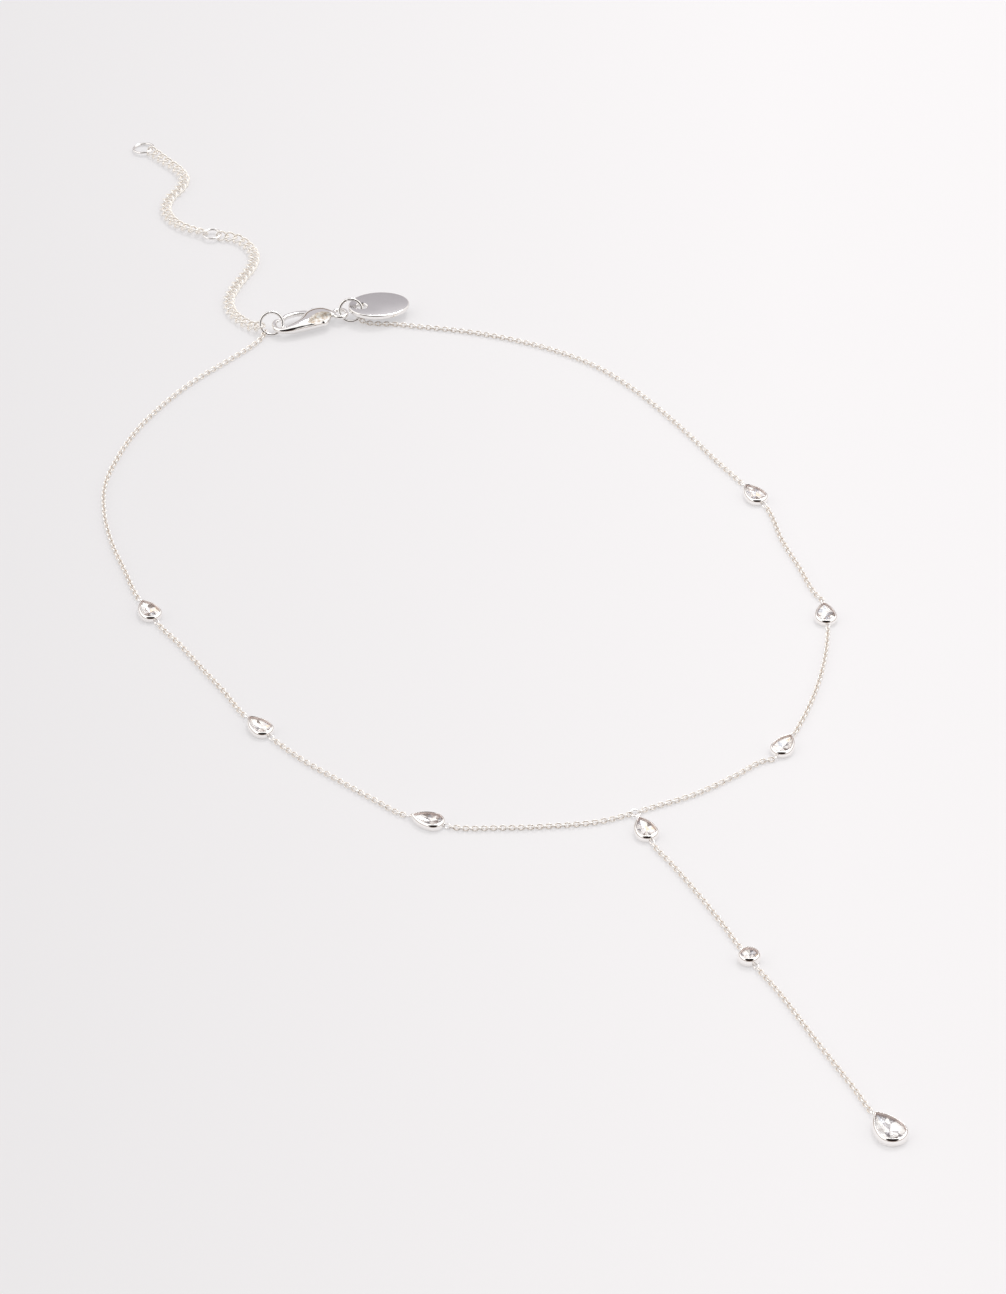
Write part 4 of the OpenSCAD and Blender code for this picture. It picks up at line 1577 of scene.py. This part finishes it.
@dataclass
class Clasp:
    """The lobster clasp: a claw with its eye and pin, and the sprung lever that closes it."""

    layout: Layout
    reach: float = 0.0114
    width: float = 0.0043
    thick: float = 0.0023
    eye_d: float = 0.0029
    eye_wire: float = 0.0007
    pin_d: float = 0.0007
    pin_gap: float = 0.00004
    boss_r: float = 0.0008
    lever_thick: float = 0.0008
    slot_gap: float = 0.0001
    eye_z: float = 0.0013
    leaf_length: float = 0.0048
    leaf_width: float = 0.0019
    leaf_along: float = 0.35
    leaf_across: float = -0.17
    leaf_turn: float = 14.0
    leaf_floor: float = 0.0003
    leaf_point: float = 0.4
    claw_roundness: float = 1.0
    arm_roundness: float = 0.6
    arm_end: tuple[float, float, float] = (0.35, 0.45, 0.6)
    boss_edge: float = 0.00008
    knob_edge: float = 0.0001
    pin_sunk: float = 0.0001
    sharp: float = 38.0
    sides: int = 28
    steps: int = 6
    leaf_sides: int = 48

    # The claw's sections from the eye to its tip: the place along as a share of the reach, the place across
    # and half the width as shares of the width, and half the height as a share of the thickness.
    BODY = (
        (0.093, 0.01, 0.09, 0.15), (0.14, 0.08, 0.29, 0.29), (0.205, 0.115, 0.465, 0.42),
        (0.285, 0.12, 0.555, 0.49), (0.38, 0.07, 0.55, 0.5), (0.485, -0.04, 0.43, 0.48),
        (0.6, -0.13, 0.305, 0.45), (0.7, -0.175, 0.24, 0.41), (0.8, -0.2, 0.195, 0.35),
        (0.882, -0.185, 0.15, 0.27), (0.953, -0.12, 0.115, 0.21), (0.998, 0.04, 0.105, 0.19),
        (1.0, 0.235, 0.102, 0.185), (0.975, 0.41, 0.096, 0.175), (0.926, 0.53, 0.08, 0.155),
        (0.856, 0.575, 0.042, 0.08),
    )
    # The lever's sections from the pivot to its end: along, across and half the width, as in the claw.
    LEVER = (
        (0.36, 0.34, 0.12), (0.445, 0.55, 0.115), (0.56, 0.665, 0.098), (0.665, 0.69, 0.088),
        (0.755, 0.655, 0.08), (0.812, 0.56, 0.07),
    )
    # The knob's place along and across, and its radius as a share of the width.
    KNOB = (0.335, 0.58, 0.12)

    def eye_at(self) -> np.ndarray:
        """Finds where the clasp ring holds the eye.

        Returns:
            The centre of the eye.
        """
        ring = self.layout.rings()["clasp_ring"]
        rise = (ring.at[2] - self.eye_z) / (ring.radius() * math.sin(math.radians(ring.lean)))
        return ring.point(180 + math.degrees(math.asin(rise)))

    def pivot(self) -> np.ndarray:
        """Returns the pivot's place from the eye."""
        return np.array([-self.LEVER[0][0] * self.reach, self.LEVER[0][1] * self.width, 0.0])

    def drum(self, name: str, at: np.ndarray, radius: float, half: float, sides: int = 40,
             edge: float = 0.0) -> bpy.types.Object:
        """Returns a short upright cylinder.

        Args:
            name: Its name.
            at: Its centre.
            radius: Its radius.
            half: Half its height.
            sides: The count of its sides.
            edge: How far its ends' edges are rounded.

        Returns:
            The object.
        """
        a = np.radians(np.arange(sides) * 360 / sides)
        profile = [(-half, radius), (half, radius)]
        if edge:
            profile = [(-half, radius - edge), (edge - half, radius), (half - edge, radius),
                       (half, radius - edge)]
        rows = [at + np.column_stack([r * np.cos(a), r * np.sin(a), np.full(sides, z)]) for z, r in profile]
        return self.lofted(name, rows)

    def lofted(self, name: str, rows: Sequence[np.ndarray], slot: int = 0) -> bpy.types.Object:
        """Makes a closed solid of the clasp.

        Args:
            name: Its name.
            rows: Its loops of points.
            slot: The material slot of its faces: 0 is polished, and 1 the pocket's.

        Returns:
            The object.
        """
        shell = Shell()
        shell.loft(np.array(rows))
        shell.slots = [slot] * len(shell.slots)
        return shell.build(name, Finish.CLASP, Finish.POCKET)

    def bar(self, name: str, table: np.ndarray, roundness: float) -> bpy.types.Object:
        """Returns a bar swept through sections.

        Args:
            name: Its name.
            table: For each section, its place along and across, half its width and half its height.
            roundness: The power of its section: 1 is an ellipse, and less is squarer.

        Returns:
            The object.
        """
        line = smooth_line(table, self.steps)
        ways = np.gradient(line[:, :2], axis=0)
        ways /= np.linalg.norm(ways, axis=1)[:, None]
        a = np.radians(np.arange(self.sides) * 360 / self.sides)
        across = np.sign(np.cos(a)) * np.abs(np.cos(a)) ** roundness
        up = np.sign(np.sin(a)) * np.abs(np.sin(a)) ** roundness
        rows = []
        for (x, y, half_width, half_height), (way_x, way_y) in zip(line, ways):
            rows.append(np.column_stack([
                x - way_y * half_width * across, y + way_x * half_width * across, half_height * up]))
        return self.lofted(name, np.array(rows) + self.eye_at())

    def block(self, name: str, low: np.ndarray, high: np.ndarray) -> bpy.types.Object:
        """Returns a box.

        Args:
            name: Its name.
            low: Its lowest corner.
            high: Its highest corner.

        Returns:
            The object.
        """
        corners = ((low[0], low[1]), (high[0], low[1]), (high[0], high[1]), (low[0], high[1]))
        return self.lofted(name, [np.array([(x, y, z) for x, y in corners]) for z in (low[2], high[2])])

    def leaf(self) -> bpy.types.Object:
        """Makes the solid that cuts the leaf-shaped pocket in the top of the shank.

        Returns:
            The object.
        """
        a = np.radians(np.arange(self.leaf_sides) * 360 / self.leaf_sides)
        x = self.leaf_length / 2 * np.cos(a)
        y = self.leaf_width / 2 * np.sin(a) * np.abs(np.sin(a)) ** self.leaf_point
        turn = math.radians(self.leaf_turn)
        middle = self.eye_at() + np.array([-self.leaf_along * self.reach, self.leaf_across * self.width, 0.0])
        rows = []
        for z in (self.leaf_floor, self.thick):
            rows.append(middle + np.column_stack([
                x * math.cos(turn) - y * math.sin(turn), x * math.sin(turn) + y * math.cos(turn),
                np.full(self.leaf_sides, z)]))
        return self.lofted("leaf", rows, slot=1)

    def build_body(self) -> None:
        """Makes the claw with its eye, slot and pin."""
        at, pivot = self.eye_at(), self.pivot()
        scale = np.array([-self.reach, self.width, self.width, self.thick])
        claw = self.bar("claw", np.array(self.BODY) * scale, self.claw_roundness)
        slot = self.lever_thick / 2 + self.slot_gap
        slot_r = self.boss_r + self.slot_gap
        well = self.drum("well", at + pivot, slot_r, slot)
        low = at + pivot + np.array([-self.reach / 3, -slot_r, -slot])
        mouth = self.block("mouth", low, low + np.array([self.reach / 3 + slot_r, self.width, 2 * slot]))
        pin = self.drum("pin", at + pivot, self.pin_d / 2, 2 * slot - self.pin_sunk, self.sides)
        eye_radius = (self.eye_d - self.eye_wire) / 2
        shell = Shell()
        shell.ring(at, Matrix.Identity(4), eye_radius, self.eye_wire, around=56, sides=20)
        eye = shell.build("eye", Finish.CLASP, Finish.POCKET)
        mesh = cut_and_joined(claw, [well, mouth, self.leaf()], [pin, eye])
        mesh.set_sharp_from_angle(angle=math.radians(self.sharp))
        body = show(mesh, "clasp_claw", Finish.CLASP, Finish.POCKET)
        settle(body, "necklace", "clasp_silver", "clasp_body")

    def build_lever(self) -> None:
        """Makes the lever with its boss, bore and thumb knob."""
        at, pivot = self.eye_at(), self.pivot()
        half = self.lever_thick / 2
        scale = np.array([-self.reach, self.width, self.width])
        table = np.column_stack([np.array(self.LEVER) * scale, np.full(len(self.LEVER), half)])
        further, narrower, thinner = self.arm_end
        end = table[-1] + (table[-1] - table[-2]) * further
        end[2:] = (table[-1][2] * narrower, half * thinner)
        arm = self.bar("arm", np.vstack([table, end]), self.arm_roundness)
        boss = self.drum("boss", at + pivot, self.boss_r, half, edge=self.boss_edge)
        knob_at = at + np.array([-self.KNOB[0] * self.reach, self.KNOB[1] * self.width, 0.0])
        knob = self.drum("knob", knob_at, self.KNOB[2] * self.width, half, edge=self.knob_edge)
        bore = self.drum("bore", at + pivot, self.pin_d / 2 + self.pin_gap, 2 * half, self.sides)
        whole = show(cut_and_joined(arm, [], [boss, knob]), "whole")
        mesh = cut_and_joined(whole, [bore], [])
        mesh.set_sharp_from_angle(angle=math.radians(self.sharp))
        lever = show(mesh, "lever_gate", Finish.CLASP)
        settle(lever, "lever", "clasp_silver", "clasp_lever")


@dataclass
class Studio:
    """The pale surface, the light and the camera."""

    camera_at: tuple[float, float, float] = (-0.3136, -0.6794, 0.5531)
    target: tuple[float, float, float] = (-0.00355, -0.0145, 0.0)
    lens: float = 213.7
    sensor: float = 36.0
    floor_size: float = 4.0
    floor_tone: Colour = (0.93, 0.913, 0.922)
    floor_shade: Colour = (0.7, 0.687, 0.696)
    floor_light: Colour = (0.81, 0.8, 0.808)
    floor_turn: float = -25.0
    floor_start: float = -0.09
    floor_fade: float = 0.14
    floor_glow: float = 0.55
    floor_share: float = 0.5
    floor_roughness: float = 0.8
    floor_gloss: float = 0.1
    tent: Colour = (1.0, 0.985, 0.97)
    tent_power: float = 1.25
    far_grey: Colour = (0.5, 0.48, 0.5)
    dark: Colour = (0.015, 0.012, 0.012)
    edge_brown: Colour = (0.17, 0.11, 0.075)
    edge_rise: float = 9.0
    edge_soft: float = 5.0
    edge_share: float = 0.9
    dark_angle: float = 30.0
    dark_soft: float = 5.0
    dark_width: float = 0.15
    far_turn: float = 65.0
    far_rise: float = 36.0
    far_angle: float = 26.0
    far_soft: float = 14.0
    key_at: tuple[float, float, float] = (0.55, 0.62, 1.1)
    key_size: float = 0.5
    key_power: float = 5.0

    def build_camera(self) -> None:
        """Makes the camera."""
        data = bpy.data.cameras.new("camera")
        data.sensor_fit = "HORIZONTAL"
        data.sensor_width = self.sensor
        data.lens = self.lens
        camera = bpy.data.objects.new("camera", data)
        camera.location = self.camera_at
        way = Vector(self.target) - Vector(self.camera_at)
        camera.rotation_euler = way.to_track_quat("-Z", "Y").to_euler()
        bpy.context.scene.collection.objects.link(camera)
        bpy.context.scene.camera = camera

    def build_floor(self) -> None:
        """Makes the pale surface."""
        half = self.floor_size / 2
        mesh = bpy.data.meshes.new("floor")
        corners = [(-half, -half, 0), (half, -half, 0), (half, half, 0), (-half, half, 0)]
        mesh.from_pydata(corners, [], [(0, 1, 2, 3)])
        floor = bpy.data.objects.new("floor", mesh)
        bpy.context.scene.collection.objects.link(floor)
        material, graph, shader = new_material("pale_surface")
        place = graph.value("ShaderNodeTexCoord", output="Object")
        # Painted light: the surface's colour is darker towards one side as a painted fall-off of light; it
        # also glows evenly.
        across = graph.along(place, heading(self.floor_turn))
        bright = ((across - self.floor_start) * (1 / self.floor_fade)).clamped()
        shade, tone = (tuple(self.floor_share * c for c in tones)
                       for tones in (self.floor_shade, self.floor_tone))
        graph.feed(shader, {
            "Base Color": graph.mixed(bright, shade, tone), "Emission Color": (*self.floor_light, 1.0),
            "Emission Strength": self.floor_glow, "Roughness": self.floor_roughness,
            "Specular IOR Level": self.floor_gloss,
        })
        mesh.materials.append(material)

    def spot(self, graph: Graph, way: np.ndarray, angle: float, soft: float, wide: float = 0.0) -> Value:
        """Returns a round or level oval patch of the sky.

        Args:
            graph: The world's graph.
            way: The direction of its middle.
            angle: Its radius in degrees.
            soft: How far its edge fades, in degrees.
            wide: How much wider than high it is, where 0 is round.

        Returns:
            1 inside the patch and 0 outside.
        """
        sky = graph.value("ShaderNodeTexCoord", output="Generated")
        near = graph.along(sky, way)
        if wide:
            aside = graph.along(sky, unit(np.cross(way, (0.0, 0.0, 1.0))))
            near = near + wide * (aside * aside)
        inner = math.cos(math.radians(angle))
        outer = math.cos(math.radians(angle + soft))
        return ((near - outer) * (1 / (inner - outer))).clamped()

    def build_light(self) -> None:
        """Makes a white tent with a grey side, a dark patch round the lens, a brown rim and a soft lamp."""
        world = bpy.data.worlds.new("tent")
        bpy.context.scene.world = world
        world.use_nodes = True
        graph = Graph(world.node_tree)
        graph.tree.nodes.clear()
        lens_way = unit(np.array(self.camera_at) - np.array(self.target))
        rise = math.radians(self.far_rise)
        far_way = heading(self.far_turn) * math.cos(rise) + np.array([0.0, 0.0, math.sin(rise)])
        far = self.spot(graph, far_way, self.far_angle, self.far_soft)
        grey = graph.mixed(far, self.tent, self.far_grey)
        near = self.spot(graph, lens_way, self.dark_angle, self.dark_soft, self.dark_width)
        dark = graph.mixed(near, grey, self.dark)
        sky_rise = graph.parts(graph.value("ShaderNodeTexCoord", output="Generated"))[2]
        over = math.sin(math.radians(self.edge_rise + self.edge_soft))
        under = math.sin(math.radians(self.edge_rise))
        low = ((over - sky_rise) * (1 / (over - under))).clamped()
        edged = graph.mixed(low * self.edge_share, dark, self.edge_brown)
        sky = graph.node("ShaderNodeBackground", None, {"Color": edged, "Strength": self.tent_power})
        graph.node("ShaderNodeOutputWorld", None, {"Surface": sky.outputs[0]})
        data = bpy.data.lights.new("key", "AREA")
        data.shape = "DISK"
        data.size = self.key_size
        data.energy = self.key_power
        lamp = bpy.data.objects.new("key", data)
        lamp.location = self.key_at
        lamp.rotation_euler = (-Vector(self.key_at)).to_track_quat("-Z", "Y").to_euler()
        bpy.context.scene.collection.objects.link(lamp)

    def build(self) -> None:
        """Makes the studio."""
        self.build_camera()
        self.build_floor()
        self.build_light()
        bpy.context.scene.view_settings.view_transform = "Standard"


def main() -> None:
    """Builds the necklace and its studio."""
    logging.basicConfig(level=logging.INFO, format="%(message)s")
    Studio().build()
    layout = Layout()
    chains = Chains(layout)
    chains.build_fine()
    chains.build_extender()
    for ring in layout.rings().values():
        ring.build()
    sizes = {
        "drop_round": (layout.round_d, layout.round_height, (-1, 1)),
        "drop_pear": (layout.drop_width, layout.drop_height, (-1,)),
    }
    pear = (layout.pear_width, layout.pear_height, (-1, 1))
    for seed, (name, place) in enumerate(layout.settings().items()):
        setting = Setting(name, place, *sizes.get(name, pear), seed=seed)
        setting.build_cup()
        setting.build_stone()
    Tag(layout).build()
    clasp = Clasp(layout)
    clasp.build_body()
    clasp.build_lever()


if __name__ == "__main__":
    main()
